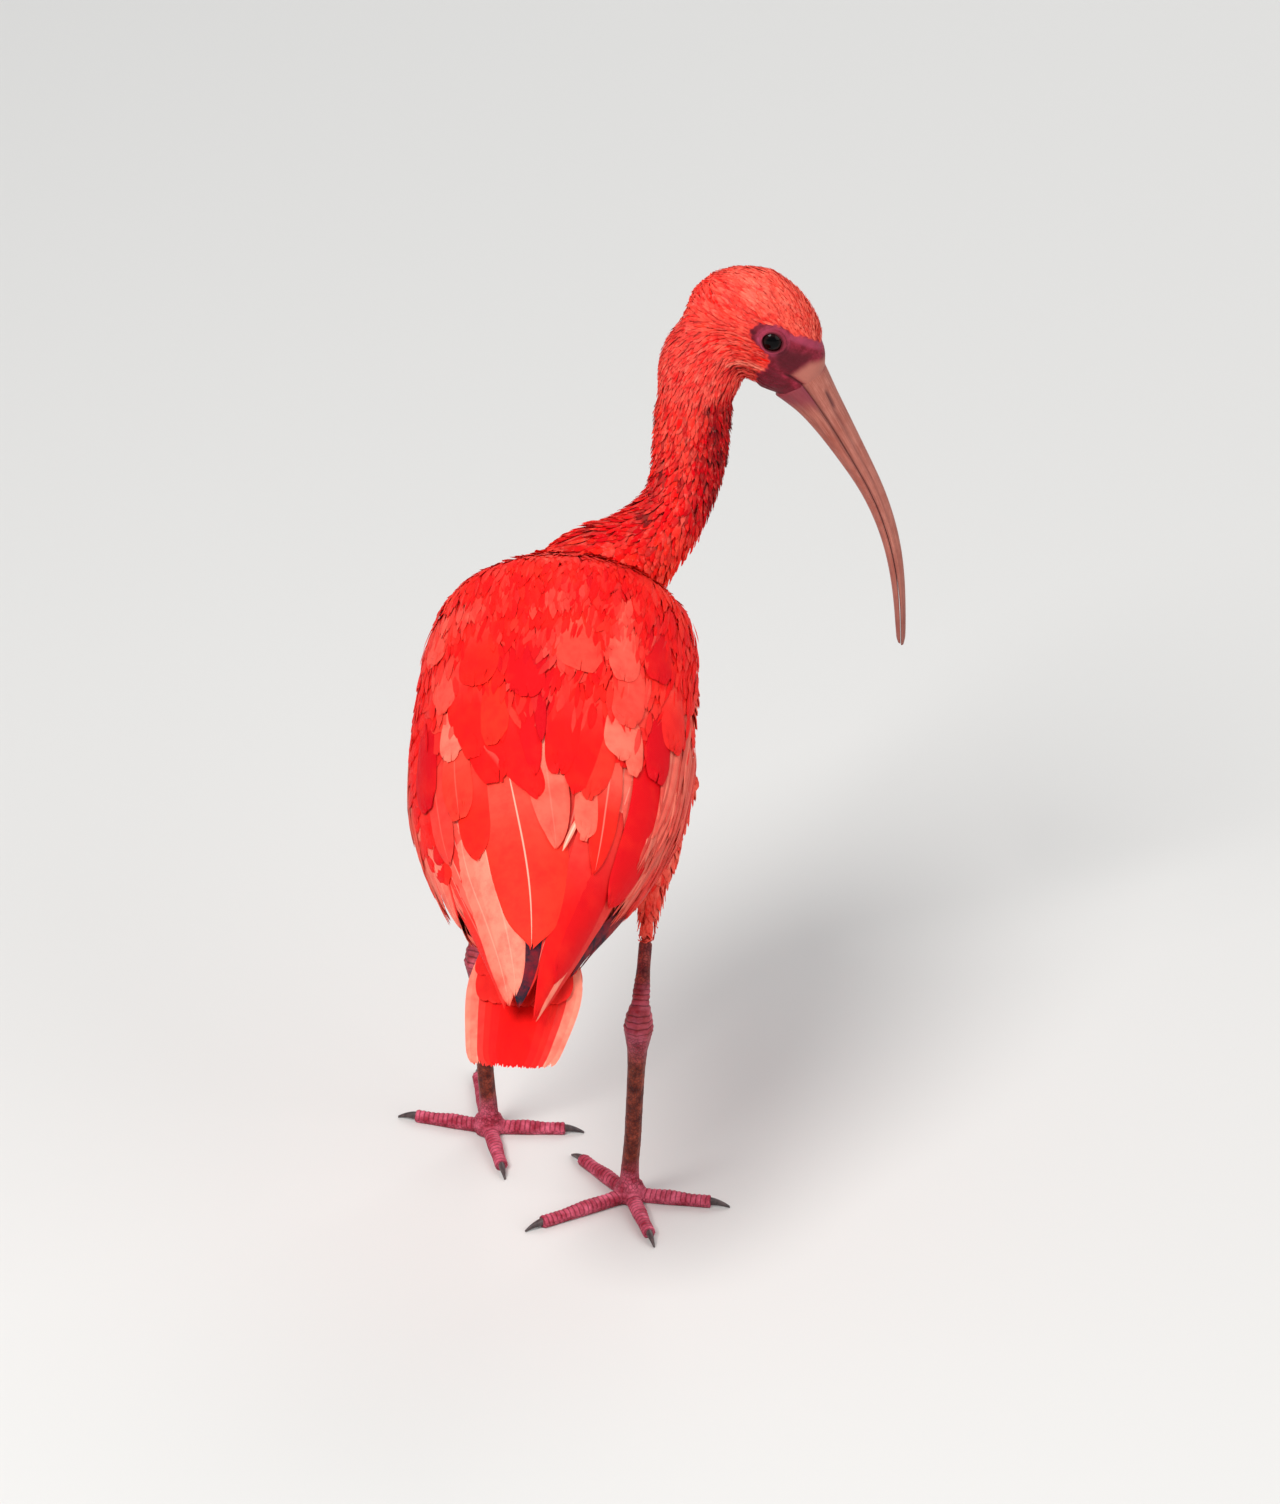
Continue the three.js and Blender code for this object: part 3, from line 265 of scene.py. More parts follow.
# The large feathers that show on the back, one by one: root, tip, bend in degrees, half width, height, tone
# from crimson to orange, how pale all over, at the base and at the edges, how pale the shaft is, and outline
BACK_FEATHERS = {
    "left": [
        ((-34, -14), (-119, 11), -2, 20, -0.1, 0.85, 0.02, 0.15, 0, 0.8, POINTED),
        ((-58, -29), (-139, -6), -5, 9.5, -0.5, 0.9, 0.8, 0, -0.15, 0.25, POINTED),
        ((-62, -42), (-143, -22), -9, 9.5, -0.8, 0.9, 0.65, 0, -0.25, 0.25, POINTED),
        ((-36, -56), (-143, -36), -14, 7, -1.2, 0.4, 0.08, 0.1, 0, 0.2, POINTED),
        ((-14, -66), (-99, -78), 3, 7, -0.9, 0.4, 0.6, 0, -0.6, 0.2, LONG_VANE),
        ((-6, -80), (-84, -88), 3, 6, -1.1, 0.3, 0.5, 0, -0.6, 0.1, LONG_VANE),
        ((-20, -52), (-74, -55), 0, 7, -0.6, 0.4, 0.15, 0, 0, 0.1, LONG_VANE),
        ((-28, -30), (-78, -33), 0, 8, -0.35, 0.7, 0, 0.1, 0, 0, LONG_VANE),
        ((14, -28), (-51, 1), -3, 10, 0.2, 0.45, 0.0, 0.1, 0, 0, LONG_VANE),
        ((22, -34), (-42, -17), -3, 9, 0.35, 0.5, 0.0, 0.1, 0, 0.1, ROUND_TIP),
        ((30, -40), (-28, -27), -2, 9, 0.5, 0.55, 0.0, 0.15, 0, 0, ROUND_TIP),
        ((12, -22), (-24, -20), 0, 7, 0.6, 0.85, 0.0, 0, 0, 0, ROUND_TIP),
        ((30, -14), (-1, -7), 0, 9, 0.7, 0.2, 0, 0, 0, 0, ROUND_TIP),
        ((46, -30), (8, -30), 0, 10, 0.75, 0.62, 0.0, 0.1, 0, 0, ROUND_TIP),
        ((6, -10), (-40, -1), 0, 5, 0.4, 0.22, 0, 0, 0, 0, POINTED),
        # This narrow crimson feather lies in the parting down the back's middle as painted shade of the gap
        ((4, -3), (-24, 0), 0, 2.6, 0.75, 0, 0, 0, 0, 0, POINTED),
        ((-12, -39), (-56, -39), 0, 8, 0.0, 0.85, 0.06, 0.2, 0, 0.1, ROUND_TIP),
        ((4, -40), (-27, -40), 0, 7.5, 0.2, 0.85, 0.6, 0, 0, 0, ROUND_TIP),
        ((26, -54), (-1, -46), 4, 6.5, 0.3, 0.6, 0.25, 0, 0, 0, ROUND_TIP),
        ((2, -58), (-44, -60), 0, 8, -0.1, 0.0, 0, 0, 0, 0, ROUND_TIP),
        ((60, -70), (30, -55), 0, 8, 0.4, 0.6, 0.25, 0, 0, 0, ROUND_TIP),
    ],
    "right": [
        ((-38, 30), (-147, 57), -3, 9.5, -0.3, 0.4, 0, 0.2, 0, 0, POINTED),
        ((-48, 38), (-128, 62), -2, 9.5, -0.25, 0.2, 0, 0.1, 0, 0, LONG_VANE),
        ((-58, 50), (-140, 74), 5, 7, -0.9, 0.2, 0.1, 0.1, 0, 0.1, LONG_VANE),
        ((-74, 48), (-147, 66), 10, 2.6, -0.2, 0.85, 0.85, 0, 0, 0.2, POINTED),
        ((-30, 19), (-67.5, 28), 0, 5.5, 0.3, 1, 0.4, 0, 0, 0, ROUND_TIP),
        ((-56, 22), (-75, 18), 0, 1.2, 0.4, 1, 1, 0, 0, 1, POINTED),
        ((-22, 30), (-80, 41), -2, 7, 0.1, 0.7, 0, 0.3, 0, 0.3, POINTED),
        ((-16, 46), (-88, 66), 3, 10, 0, 0.15, 0, 0, 0, 0, LONG_VANE),
        ((-14, 0), (-74, 14), -2, 9, 0.1, 0.85, 0.35, 0.6, 0, 0.1, POINTED),
        ((14, 8), (-38, 9), 0, 8, 0.5, 0.48, 0.0, 0.1, 0, 0, ROUND_TIP),
        ((10, 20), (-47, 17), 0, 8.5, 0.4, 0.5, 0.0, 0.1, 0, 0, LONG_VANE),
        ((-4, 27), (-48, 24), 0, 6.5, 0.35, 0.75, 0.04, 0, 0, 0, ROUND_TIP),
        ((6, 30), (-25, 33), 0, 7.5, 0.45, 0.95, 0.5, 0, 0, 0, ROUND_TIP),
        ((-4, 38), (-30, 41), 0, 4.5, 0.4, 0.9, 0.45, 0, 0, 0, ROUND_TIP),
        ((6, 50), (-27, 54), 0, 7, 0.35, 0.0, 0, 0, 0, 0, ROUND_TIP),
        ((28, 34), (-8, 33), 0, 8, 0.55, 0.6, 0.2, 0, 0, 0, ROUND_TIP),
        ((48, 8), (14, 12), 0, 11, 0.8, 0.7, 0.15, 0.1, 0, 0, ROUND_TIP),
        ((46, 29), (14, 30), 0, 7.5, 0.85, 0.65, 0.28, 0, 0, 0, ROUND_TIP),
        ((48, 46), (21, 46), 0, 8, 0.75, 0.08, 0, 0, 0, 0, ROUND_TIP),
        ((28, 56), (-8, 60), 0, 8, 0.2, 0.45, 0.05, 0.1, 0, 0, ROUND_TIP),
    ],
}

# Feathers that are laid by chance, by the ranges that their values are drawn from: where they start and end
# along the body, where roots and tips lie across the wing, how long and wide they are, and how far they bend.
# So many wisps are tried, spread so many degrees round the back, and none is kept farther round than "far".
FLIGHT = {"count": 10, "start": (6, 12), "end": (-137, -94), "root": (0.3, 0.88), "tip": (0.16, 0.84)}
COVERTS = {"long": (20, 27), "half": (5.5, 8.5), "uneven": 0.35, "shift": (-3, 3), "bend": (-2, 2)}
WISPS = {"tries": 2600, "start": (-12, 98), "spread": 40, "far": 78, "long": (9, 17), "half": (0.9, 2.2)}
PLUMES = {"start": (-48, 14), "long": (34, 60), "half": (1.2, 2.6), "bend": (-3, 2)}
# The flank's plumes lie between these degrees, and there are so many of them
FLANK = {"right": (60, 100, 260), "left": (84, 112, 130)}
# Small feathers vary in length, width and height by these shares; roots lie lower and tips are ragged
SMALL = {"long": (0.8, 1.2), "wide": (0.85, 1.15), "deep": (0.65, 0.95), "root": 0.15, "ragged": 0.12}

# Places along the body, half width of the tail there and how far its middle is to the right
TAIL = [(-96.5, 20, 0), (-122, 25, 0), (-163, 19.5, -2)]
TAIL_HEIGHT = 5.4
TAIL_ARCH = 3
# From the middle feather out: middle and half width as shares of the tail's, reach, tone, and how pale the
# vane and the shaft are on the left and on the right
TAIL_VANES = [
    (0.12, 0.24, 0, 0.5, (0, 0), (0, 0)),
    (0.3, 0.22, 0.2, 0.36, (0.02, 0.02), (0, 0)),
    (0.44, 0.2, 0.6, 0.5, (0.04, 0.04), (0, 0)),
    (0.58, 0.18, 1.2, 0.3, (0.12, 0.1), (0, 0)),
    (0.74, 0.17, 2.2, 0.8, (0.72, 0.72), (0.3, 0.3)),
    (0.84, 0.16, 3.4, 0.9, (0.85, 0.85), (1, 0.3)),
]
# Rows of tail coverts: where they start and end, how far out they go and how high they lie
COVERTS_OVER = [(-88, -112, 0.8, 3.2), (-94, -122, 0.7, 2.6), (-102, -134, 0.6, 2)]
COVERTS_UNDER = [
    (-86, -118, 0.8, -12),
    (-94, -128, 0.75, -7),
    (-104, -140, 0.65, -4),
    (-110, -148, 0.5, -2.6),
]

# Small feathers: how many places are tried for each, and the least gap between two as a share of the spacing
TRIES = 3.2
LEAST_GAP = 0.82
# Where the neck's feathers fan out over the breast: how strongly, how far from the neck's base and how low
FAN = {"most": 1.1, "reach": 30, "spread": 45, "below": 257}
NECK_BASE = np.array([26.4, 82, 259.5])

# Colours of the plumage
# The tone also moves towards CRIMSON as painted shade: low and on the front of the neck, and in the back's
# middle.
CRIMSON = "#D60012"
SCARLET = "#F5120E"
ORANGE = "#FF341E"
SALMON = "#FF9A80"
PINK = "#F28A7C"
# UMBER darkens marks on neck and flank, and also paints shade on the neck's front and low on the side of the
# head.
UMBER = "#4E1616"
BLACK_BLUE = "#1E1A28"
SHAFT_CREAM = "#FFC9B0"
# Colours of the bare face
WINE = "#6C0C1E"
PURPLE = "#96243A"
MAUVE = "#B04460"
# MAROON colours the dark lore and also paints shade along the mouth's crease.
MAROON = "#4C0816"
GAPE_HORN = "#B0685A"
# Colours of the bill
BILL_BROWN = "#8E4436"
BILL_SALMON = "#C9806E"
BILL_RUST = "#964838"
# The next colour paints shade in the bill's grooves, nostril and mouth, and darkens its tip.
BILL_SHADE_AND_TIP = "#5E2A28"
BILL_ROOT = "#7E2238"
# Colours of legs, claws and eyes
LEG_BROWN = "#4A1008"
LEG_RUST = "#9C4430"
TOE_WINE = "#962438"
TOE_ROSE = "#D8627A"
# The next colour paints shade in the creases of the legs' scales and scutes.
CREASE_SHADE = "#3E1216"
CLAW_BLACK = "#2A2023"
CLAW_GREY = "#5C4A48"
IRIS = "#1E0B0A"
PUPIL = "#020102"
EYE_RIM = "#0C0506"
# Colours of the floor and the light round it
FLOOR_GREY = "#D8D6D2"
SKY = "#E4E8EE"

# The barbs run back from the shaft by so many millimetres for each across it, and a leg's scale is so wide
BARB_SLANT = 1.4
LEG_SCALE = 1.7


def column(rows, key, squared=False):
    """A smooth curve through one column of the rows, read at any places. Squares round a closed end."""
    places = np.array([row[0] for row in rows], float)
    values = np.array([row[key] for row in rows], float)
    if squared:
        values = values**2
    if places[0] > places[-1]:
        places, values = places[::-1], values[::-1]
    step = np.diff(places)
    slope = np.diff(values) / step
    slopes = np.empty(len(values))
    slopes[0], slopes[-1] = slope[0], slope[-1]
    product = slope[:-1] * slope[1:]
    total = slope[:-1] + slope[1:]
    slopes[1:-1] = np.where(product > 0, 2 * product / np.where(total == 0, 1, total), 0)

    def read(place):
        place = np.asarray(place, float)
        i = np.clip(np.searchsorted(places, place) - 1, 0, len(step) - 1)
        t = np.clip((place - places[i]) / step[i], 0, 1)
        value = (
            (2 * t**3 - 3 * t**2 + 1) * values[i]
            + (t**3 - 2 * t**2 + t) * step[i] * slopes[i]
            + (3 * t**2 - 2 * t**3) * values[i + 1]
            + (t**3 - t**2) * step[i] * slopes[i + 1]
        )
        return np.sqrt(np.maximum(value, 0)) if squared else value

    return read


def sections(rows):
    """Smooth curves for rows of place, half width, rise, and height above and below that."""
    return {
        "wide": column(rows, 1, True),
        "rise": column(rows, 2),
        "above": column(rows, 3, True),
        "below": column(rows, 4, True),
    }


def unit(vectors):
    """Vectors of length 1."""
    vectors = np.asarray(vectors, float)
    return vectors / np.maximum(np.linalg.norm(vectors, axis=-1, keepdims=True), 1e-9)


def mix(a, b, t):
    """What lies between a and b at a share of the way."""
    return a + (b - a) * t


def smooth_step(low, high, value):
    """Rises smoothly from 0 at low to 1 at high."""
    t = np.clip((value - low) / (high - low), 0, 1)
    return t * t * (3 - 2 * t)


X = np.array([1.0, 0, 0])
Z = np.array([0, 0, 1.0])
pitch = math.radians(BODY_PITCH)
ALONG = np.array([0, math.cos(pitch), math.sin(pitch)])
DORSAL = np.array([0, -math.sin(pitch), math.cos(pitch)])
plumage = sections(PLUMAGE)


def scale3(vector, amounts):
    """A vector times each of the amounts."""
    return np.asarray(amounts, float)[..., None] * vector


def on_plumage(along, angle):
    """Points of the plumage's outer surface by place along the axis and angle from the back to the right."""
    c, s = np.cos(np.radians(angle)), np.sin(np.radians(angle))
    high = np.where(c >= 0, plumage["above"](along), plumage["below"](along))
    return (
        np.array(BODY_CENTRE, float)
        + scale3(ALONG, along + 0 * s)
        + scale3(X, s * plumage["wide"](along))
        + scale3(DORSAL, plumage["rise"](along) + c * high)
    )


def plumage_normal(along, angle):
    """The way out of the plumage's outer surface."""
    step = 0.5
    back = on_plumage(along - step, angle) - on_plumage(along + step, angle)
    around = on_plumage(along, angle + step) - on_plumage(along, angle - step)
    return unit(np.cross(back, around))


heading = math.radians(90 - HEAD_TURN)
dip = math.radians(HEAD_DIP)
LEVEL = np.array([math.cos(heading), math.sin(heading), 0])
ASIDE = np.cross(LEVEL, Z)
FORWARD = LEVEL * math.cos(dip) - Z * math.sin(dip)
CROWN = LEVEL * math.sin(dip) + Z * math.cos(dip)


def in_head(ahead, above, aside=0.0):
    """A point in the head: ahead of the brow, above it and to its right."""
    return np.array(BROW, float) + scale3(FORWARD, ahead) + scale3(CROWN, above) + scale3(ASIDE, aside)


def head_place(points):
    """Where points lie in the head: ahead of the brow, above it and to its right."""
    off = points - np.array(BROW, float)
    return off @ FORWARD, off @ CROWN, off @ ASIDE


bill_dip = column(BILL_DIP, 1)


def on_bill(distance):
    """The bill's middle line at a distance from its root: the point, the way it runs and the way up."""
    steps = 40
    centre = in_head(BILL["ahead"], BILL["above"])

    def way(d):
        a = math.radians(float(bill_dip(d)))
        return LEVEL * math.cos(a) - Z * math.sin(a)

    for i in range(steps):
        centre = centre + way(distance * (i + 0.5) / steps) * distance / steps
    forward = way(distance)
    return centre, forward, np.cross(ASIDE, forward)


# The part's origin is under the middle of its box, so the right eye's middle gives the way between the frames
eye_low, eye_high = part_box("eye_right")
SHIFT = in_head(EYE["ahead"], EYE["above"], EYE["aside"]) - 500 * (np.array(eye_low) + np.array(eye_high))
SHIFT[2] = 0


def metres(points):
    """Points of the bird's frame in the part's frame, in metres."""
    return (np.asarray(points, float) - SHIFT) / 1000


# Meshes


def new_object(name, mesh, material=None):
    """Puts a mesh in the scene, in its material."""
    piece = bpy.data.objects.new(name, mesh)
    bpy.context.scene.collection.objects.link(piece)
    if material:
        mesh.materials.append(material)
    return piece


def mesh_from(name, points, faces):
    """A mesh from points in the bird's frame and faces that all have the same number of corners."""
    points = metres(points).reshape(-1, 3).astype(np.float32)
    faces = np.asarray(faces, np.int32)
    corners = faces.shape[1]
    mesh = bpy.data.meshes.new(name)
    mesh.vertices.add(len(points))
    mesh.vertices.foreach_set("co", points.ravel())
    mesh.loops.add(faces.size)
    mesh.loops.foreach_set("vertex_index", faces.ravel())
    mesh.polygons.add(len(faces))
    mesh.polygons.foreach_set("loop_start", np.arange(0, faces.size, corners, dtype=np.int32))
    mesh.polygons.foreach_set("use_smooth", np.ones(len(faces), bool))
    mesh.update(calc_edges=True)
    return mesh


def tube_faces(rings, sides):
    """Quads between rings of points, each closed on itself."""
    i, j = np.meshgrid(np.arange(rings - 1), np.arange(sides), indexing="ij")
    here, beside = i * sides + j, i * sides + (j + 1) % sides
    return np.stack([here, beside, beside + sides, here + sides], -1).reshape(-1, 4)


def closed_tube(name, rings):
    """A closed mesh through rings of points, its ends drawn in to their middles."""
    rings = np.asarray(rings, float)
    ends = [rings[0].mean(0), rings[-1].mean(0)]
    first = ends[0] + (rings[0] - ends[0]) * 0.02
    last = ends[1] + (rings[-1] - ends[1]) * 0.02
    rings = np.concatenate([[first], rings, [last]])
    count, sides = rings.shape[:2]
    mesh = mesh_from(name, rings, tube_faces(count, sides))
    turn_out(mesh)
    return mesh


def turn_out(mesh):
    """Closes open ends and turns the faces outwards."""
    work = bmesh.new()
    work.from_mesh(mesh)
    bmesh.ops.holes_fill(work, edges=work.edges[:], sides=0)
    bmesh.ops.recalc_face_normals(work, faces=work.faces[:])
    work.to_mesh(mesh)
    work.free()
    for polygon in mesh.polygons:
        polygon.use_smooth = True


def spline(stations, t):
    """A smooth curve through stations, read at shares of its length, and the way that it runs there."""
    stations = np.asarray(stations, float)
    length = np.concatenate([[0], np.cumsum(np.linalg.norm(np.diff(stations[:, :3], axis=0), axis=1) ** 0.5)])
    length = length / length[-1]
    index = np.linspace(0, 1, len(stations))
    columns = [column(np.stack([index, stations[:, k]], 1), 1) for k in range(stations.shape[1])]
    t = np.asarray(t, float)
    value = np.stack([c(t) for c in columns], -1)
    ahead = np.stack([c(np.minimum(t + 0.01, 1)) - c(np.maximum(t - 0.01, 0)) for c in columns[:3]], -1)
    return value, unit(ahead)


def limb_rings(stations, up, sides, steps, less=0.0):
    """Rings round a limb through stations of x, y, z, half width and half depth."""
    full = [tuple(s) + ((s[3],) if len(s) == 4 else ()) for s in stations]
    at, way = spline(full, np.linspace(0, 1, steps + 1))
    aside = unit(np.cross(way, up))
    above = np.cross(aside, way)
    turn = np.arange(sides) * 2 * math.pi / sides
    wide = np.maximum(at[:, 3] - less, 1)[:, None, None] * aside[:, None] * np.cos(turn)[None, :, None]
    deep = np.maximum(at[:, 4] - less, 1)[:, None, None] * above[:, None] * np.sin(turn)[None, :, None]
    return at[:, None, :3] + wide + deep


# Materials


def linear(code):
    """An sRGB hex colour as linear values."""
    parts = [int(code[i : i + 2], 16) / 255 for i in (1, 3, 5)]
    return tuple(p / 12.92 if p <= 0.04045 else ((p + 0.055) / 1.055) ** 2.4 for p in parts) + (1.0,)


def add_node(tree, kind, inputs, output=0, **settings):
    """Adds a node with its settings. Each input gets a value, a hex colour or another node's output."""
    node = tree.nodes.new("ShaderNode" + kind)
    for name, value in settings.items():
        setattr(node, name, value)
    for key, value in inputs.items():
        if isinstance(value, bpy.types.NodeSocket):
            tree.links.new(value, node.inputs[key])
        else:
            node.inputs[key].default_value = linear(value) if isinstance(value, str) else value
    return node.outputs[output] if node.outputs else None


def new_material(name):
    """An empty material, and what adds a node to it."""
    material = bpy.data.materials.new(name)
    material.use_nodes = True
    material.node_tree.nodes.clear()
    return material, partial(add_node, material.node_tree)


def marks(add, *names):
    """The markings that a mesh carries under these names."""
    return [add("Attribute", {}, "Fac", attribute_name=name) for name in names]


def grained(add, grain, detail, rough, between=None, most=1.0):
    """Noise over the bird, its grain in millimetres. Between two of its values it rises from 0 to most."""
    place = add("TexCoord", {}, "Object")
    height = add("TexNoise", {"Vector": place, "Scale": 1000 / grain, "Detail": detail, "Roughness": rough})
    if not between:
        return height
    low, high = between
    return add("MapRange", {"Value": height, "From Min": low, "From Max": high, "To Max": most})


def layered(add, colour, layers):
    """Lays colours over one another, each by its share."""
    for share, over in layers:
        colour = add("Mix", {0: share, 6: colour, 7: over}, 2, data_type="RGBA")
    return colour


def finish(add, colour, looks, bump=None):
    """Ends a material: its colour, its looks and a bump's height, strength and depth in millimetres."""
    inputs = {"Base Color": colour, **looks}
    if bump:
        height, strength, depth = bump
        inputs["Normal"] = add("Bump", {"Height": height, "Strength": strength, "Distance": depth / 1000})
    add("OutputMaterial", {"Surface": add("BsdfPrincipled", inputs)})


def plumage_colour(add):
    """The plumage's colour from its markings: tone from crimson to orange, pale to salmon, dark to black."""
    tone, pale, dark = marks(add, "tone", "pale", "dark")
    red = add("ValToRGB", {"Fac": tone}, "Color")
    stops = red.node.color_ramp.elements
    stops[0].position, stops[0].color = 0.0, linear(CRIMSON)
    stops[1].position, stops[1].color = 1.0, linear(ORANGE)
    middle = stops.new(0.5)
    middle.color = linear(SCARLET)
    brown = add("MapRange", {"Value": dark, "From Min": 0.0, "From Max": 0.5})
    black = add("MapRange", {"Value": dark, "From Min": 0.5, "From Max": 1.0})
    return layered(add, red, [(pale, SALMON), (brown, UMBER), (black, BLACK_BLUE)])


def make_vane_material():
    """Large feathers: keratin barbs that lie close side by side, which gives a silky, finely lined surface.
    The barbs are drawn about 1 mm apart, twice as coarse as real ones, so that they show."""
    material, add = new_material("feather_keratin_vane")
    place = add("SeparateXYZ", {"Vector": add("UVMap", {}, uv_map="Vane")}).node.outputs
    across = add("Math", {0: place["X"]}, operation="ABSOLUTE")
    slant = add("Math", {0: across, 1: -BARB_SLANT, 2: place["Y"]}, operation="MULTIPLY_ADD")
    waves = {"Vector": add("CombineXYZ", {"X": slant}), "Scale": 0.32, "Distortion": 2.5, "Detail": 2.0}
    waves["Detail Scale"] = 1.2
    barbs = add("TexWave", waves, "Fac", wave_type="BANDS", bands_direction="X")
    streak = grained(add, 7, 4, 0.65, (0.42, 0.72), 0.4)
    bloom = grained(add, 16, 3, 0.6, (0.5, 0.75), 0.3)
    colour = layered(add, plumage_colour(add), [(streak, CRIMSON), (bloom, ORANGE)])
    shade = add("MapRange", {"Value": barbs, "To Min": 0.9, "To Max": 1.04})
    colour = add("Mix", {0: 1.0, 6: colour, 7: shade}, 2, data_type="RGBA", blend_type="MULTIPLY")
    near = {"Value": across, "From Min": 0.2, "From Max": 0.5, "To Min": 0.8, "To Max": 0.0}
    shaft = add("Math", {0: add("MapRange", near), 1: marks(add, "shaft")[0]}, operation="MULTIPLY")
    colour = layered(add, colour, [(shaft, SHAFT_CREAM)])
    finish(add, colour, {"Roughness": 0.6, "Specular IOR Level": 0.12}, (barbs, 0.25, 0.2))
    return material


def make_down_material():
    """Small body feathers: loose barbs with soft edges, which give a matt, velvety and mottled coat."""
    material, add = new_material("feather_keratin_loose")
    mottle = grained(add, 5, 4, 0.7, (0.42, 0.66), 0.6)
    fleck = grained(add, 2.2, 3, 0.7, (0.56, 0.74), 0.35)
    colour = layered(add, plumage_colour(add), [(mottle, CRIMSON), (fleck, PINK)])
    finish(add, colour, {"Roughness": 0.8, "Specular IOR Level": 0.06}, (grained(add, 0.9, 3, 0.7), 0.3, 0.3))
    return material


def make_skin_material():
    """Bare skin of the face: thin, finely wrinkled and a little moist. Purple round the eye, a paler mauve
    band above the dark lore, and greyish salmon horn at the gape. Under the coat it is coloured like the
    feathers."""
    material, add = new_material("bare_bird_skin")
    bare, mauve, maroon, horn = marks(add, "bare", "mauve", "maroon", "horn")
    flush = grained(add, 3, 4, 0.65, (0.36, 0.66))
    # maroon paints the dark lore, and painted shade along the mouth's crease
    face = layered(add, WINE, [(flush, PURPLE), (mauve, MAUVE), (maroon, MAROON), (horn, GAPE_HORN)])
    colour = layered(add, plumage_colour(add), [(bare, face)])
    wrinkles = (grained(add, 1.0, 4, 0.65), 0.55, 0.45)
    finish(add, colour, {"Roughness": 0.55, "Specular IOR Level": 0.2}, wrinkles)
    return material


def make_bill_material():
    """Horn of the bill: dull salmon brown, grained along its length, with painted shade in its grooves,
    nostril and mouth, and a darker tip.
    """
    material, add = new_material("bill_horn_keratin")
    place = add("Mapping", {"Vector": add("UVMap", {}, uv_map="Horn"), "Scale": (1.5, 12.0, 1.0)})
    streak = add("TexNoise", {"Vector": place, "Scale": 6.0, "Detail": 5.0, "Roughness": 0.65})
    light = add("MapRange", {"Value": streak, "From Min": 0.36, "From Max": 0.68})
    blotch = grained(add, 9, 5, 0.7, (0.45, 0.66), 0.6)
    groove, root = marks(add, "groove", "root")
    # The second mark holds painted shade in grooves, nostril and mouth, and the darker tip
    layers = [(light, BILL_SALMON), (blotch, BILL_RUST), (groove, BILL_SHADE_AND_TIP), (root, BILL_ROOT)]
    colour = layered(add, BILL_BROWN, layers)
    finish(add, colour, {"Roughness": 0.5, "Specular IOR Level": 0.4}, (streak, 0.5, 0.35))
    return material


def make_leg_material():
    """Bare skin of the legs: grainy dark red-brown scales on the shaft, and ringed magenta scutes on the
    toes and over the hock, RING apart, with painted shade in the creases between them."""
    material, add = new_material("scaled_leg_skin")
    ring, ringed, rosy = marks(add, "ring", "ringed", "rosy")
    scales = {"Vector": add("TexCoord", {}, "Object"), "Scale": 1000 / LEG_SCALE}
    cells = add("TexVoronoi", scales, "Distance", feature="DISTANCE_TO_EDGE")
    crack = add("MapRange", {"Value": cells, "From Min": 0.0, "From Max": 0.14, "To Min": 1.0, "To Max": 0.0})
    turns = add("Math", {0: ring, 1: 2 * math.pi / RING}, operation="MULTIPLY")
    wave = add("Math", {0: turns}, operation="COSINE")
    line = add("MapRange", {"Value": wave, "From Min": -1.0, "From Max": -0.6, "To Min": 1.0, "To Max": 0.0})
    crease = add("Mix", {0: ringed, 2: crack, 3: line}, data_type="FLOAT")
    shaft = layered(add, LEG_BROWN, [(grained(add, 6, 5, 0.7, (0.38, 0.66)), LEG_RUST)])
    scute = layered(add, TOE_WINE, [(grained(add, 7, 4, 0.65, (0.38, 0.66)), TOE_ROSE)])
    # The dark in the scales' cracks and between the rings is painted shade
    shade = add("Math", {0: crease, 1: 0.6}, operation="MULTIPLY")
    colour = layered(add, shaft, [(rosy, scute), (shade, CREASE_SHADE)])
    height = add("Math", {0: 1.0, 1: crease}, operation="SUBTRACT")
    finish(add, colour, {"Roughness": 0.5, "Specular IOR Level": 0.18}, (height, 0.6, 0.4))
    return material


def make_claw_material():
    """Horn of the claws: dark grey, mottled and worn smooth."""
    material, add = new_material("claw_horn_keratin")
    colour = layered(add, CLAW_BLACK, [(grained(add, 3, 3, 0.6, (0.35, 0.7)), CLAW_GREY)])
    finish(add, colour, {"Roughness": 0.38})
    return material


def make_eye_material():
    """Eye: a wet clear cornea over a very dark brown iris, so that it looks black with one soft highlight."""
    material, add = new_material("wet_eye_cornea")
    out = marks(add, "axis")[0]
    pupil = add("MapRange", {"Value": out, "From Min": 0.84, "From Max": 0.9})
    rim = add("MapRange", {"Value": out, "From Min": 0.62, "From Max": 0.72, "To Min": 1.0, "To Max": 0.0})
    finish(add, layered(add, IRIS, [(pupil, PUPIL), (rim, EYE_RIM)]), {"Roughness": 0.05, "IOR": 1.2})
    return material


def add_values(mesh, **looks):
    """Keeps numbers on the mesh by name, one for each point or one for all."""
    for name, values in looks.items():
        layer = mesh.attributes.new(name, "FLOAT", "POINT")
        values = np.broadcast_to(np.ravel(values), (len(mesh.vertices),))
        layer.data.foreach_set("value", values.astype(np.float32))


def add_uv(mesh, name, corner_values):
    """Keeps one place per face corner on the mesh."""
    layer = mesh.uv_layers.new(name=name)
    layer.data.foreach_set("uv", np.asarray(corner_values, np.float32).ravel())


# Camera, floor and light


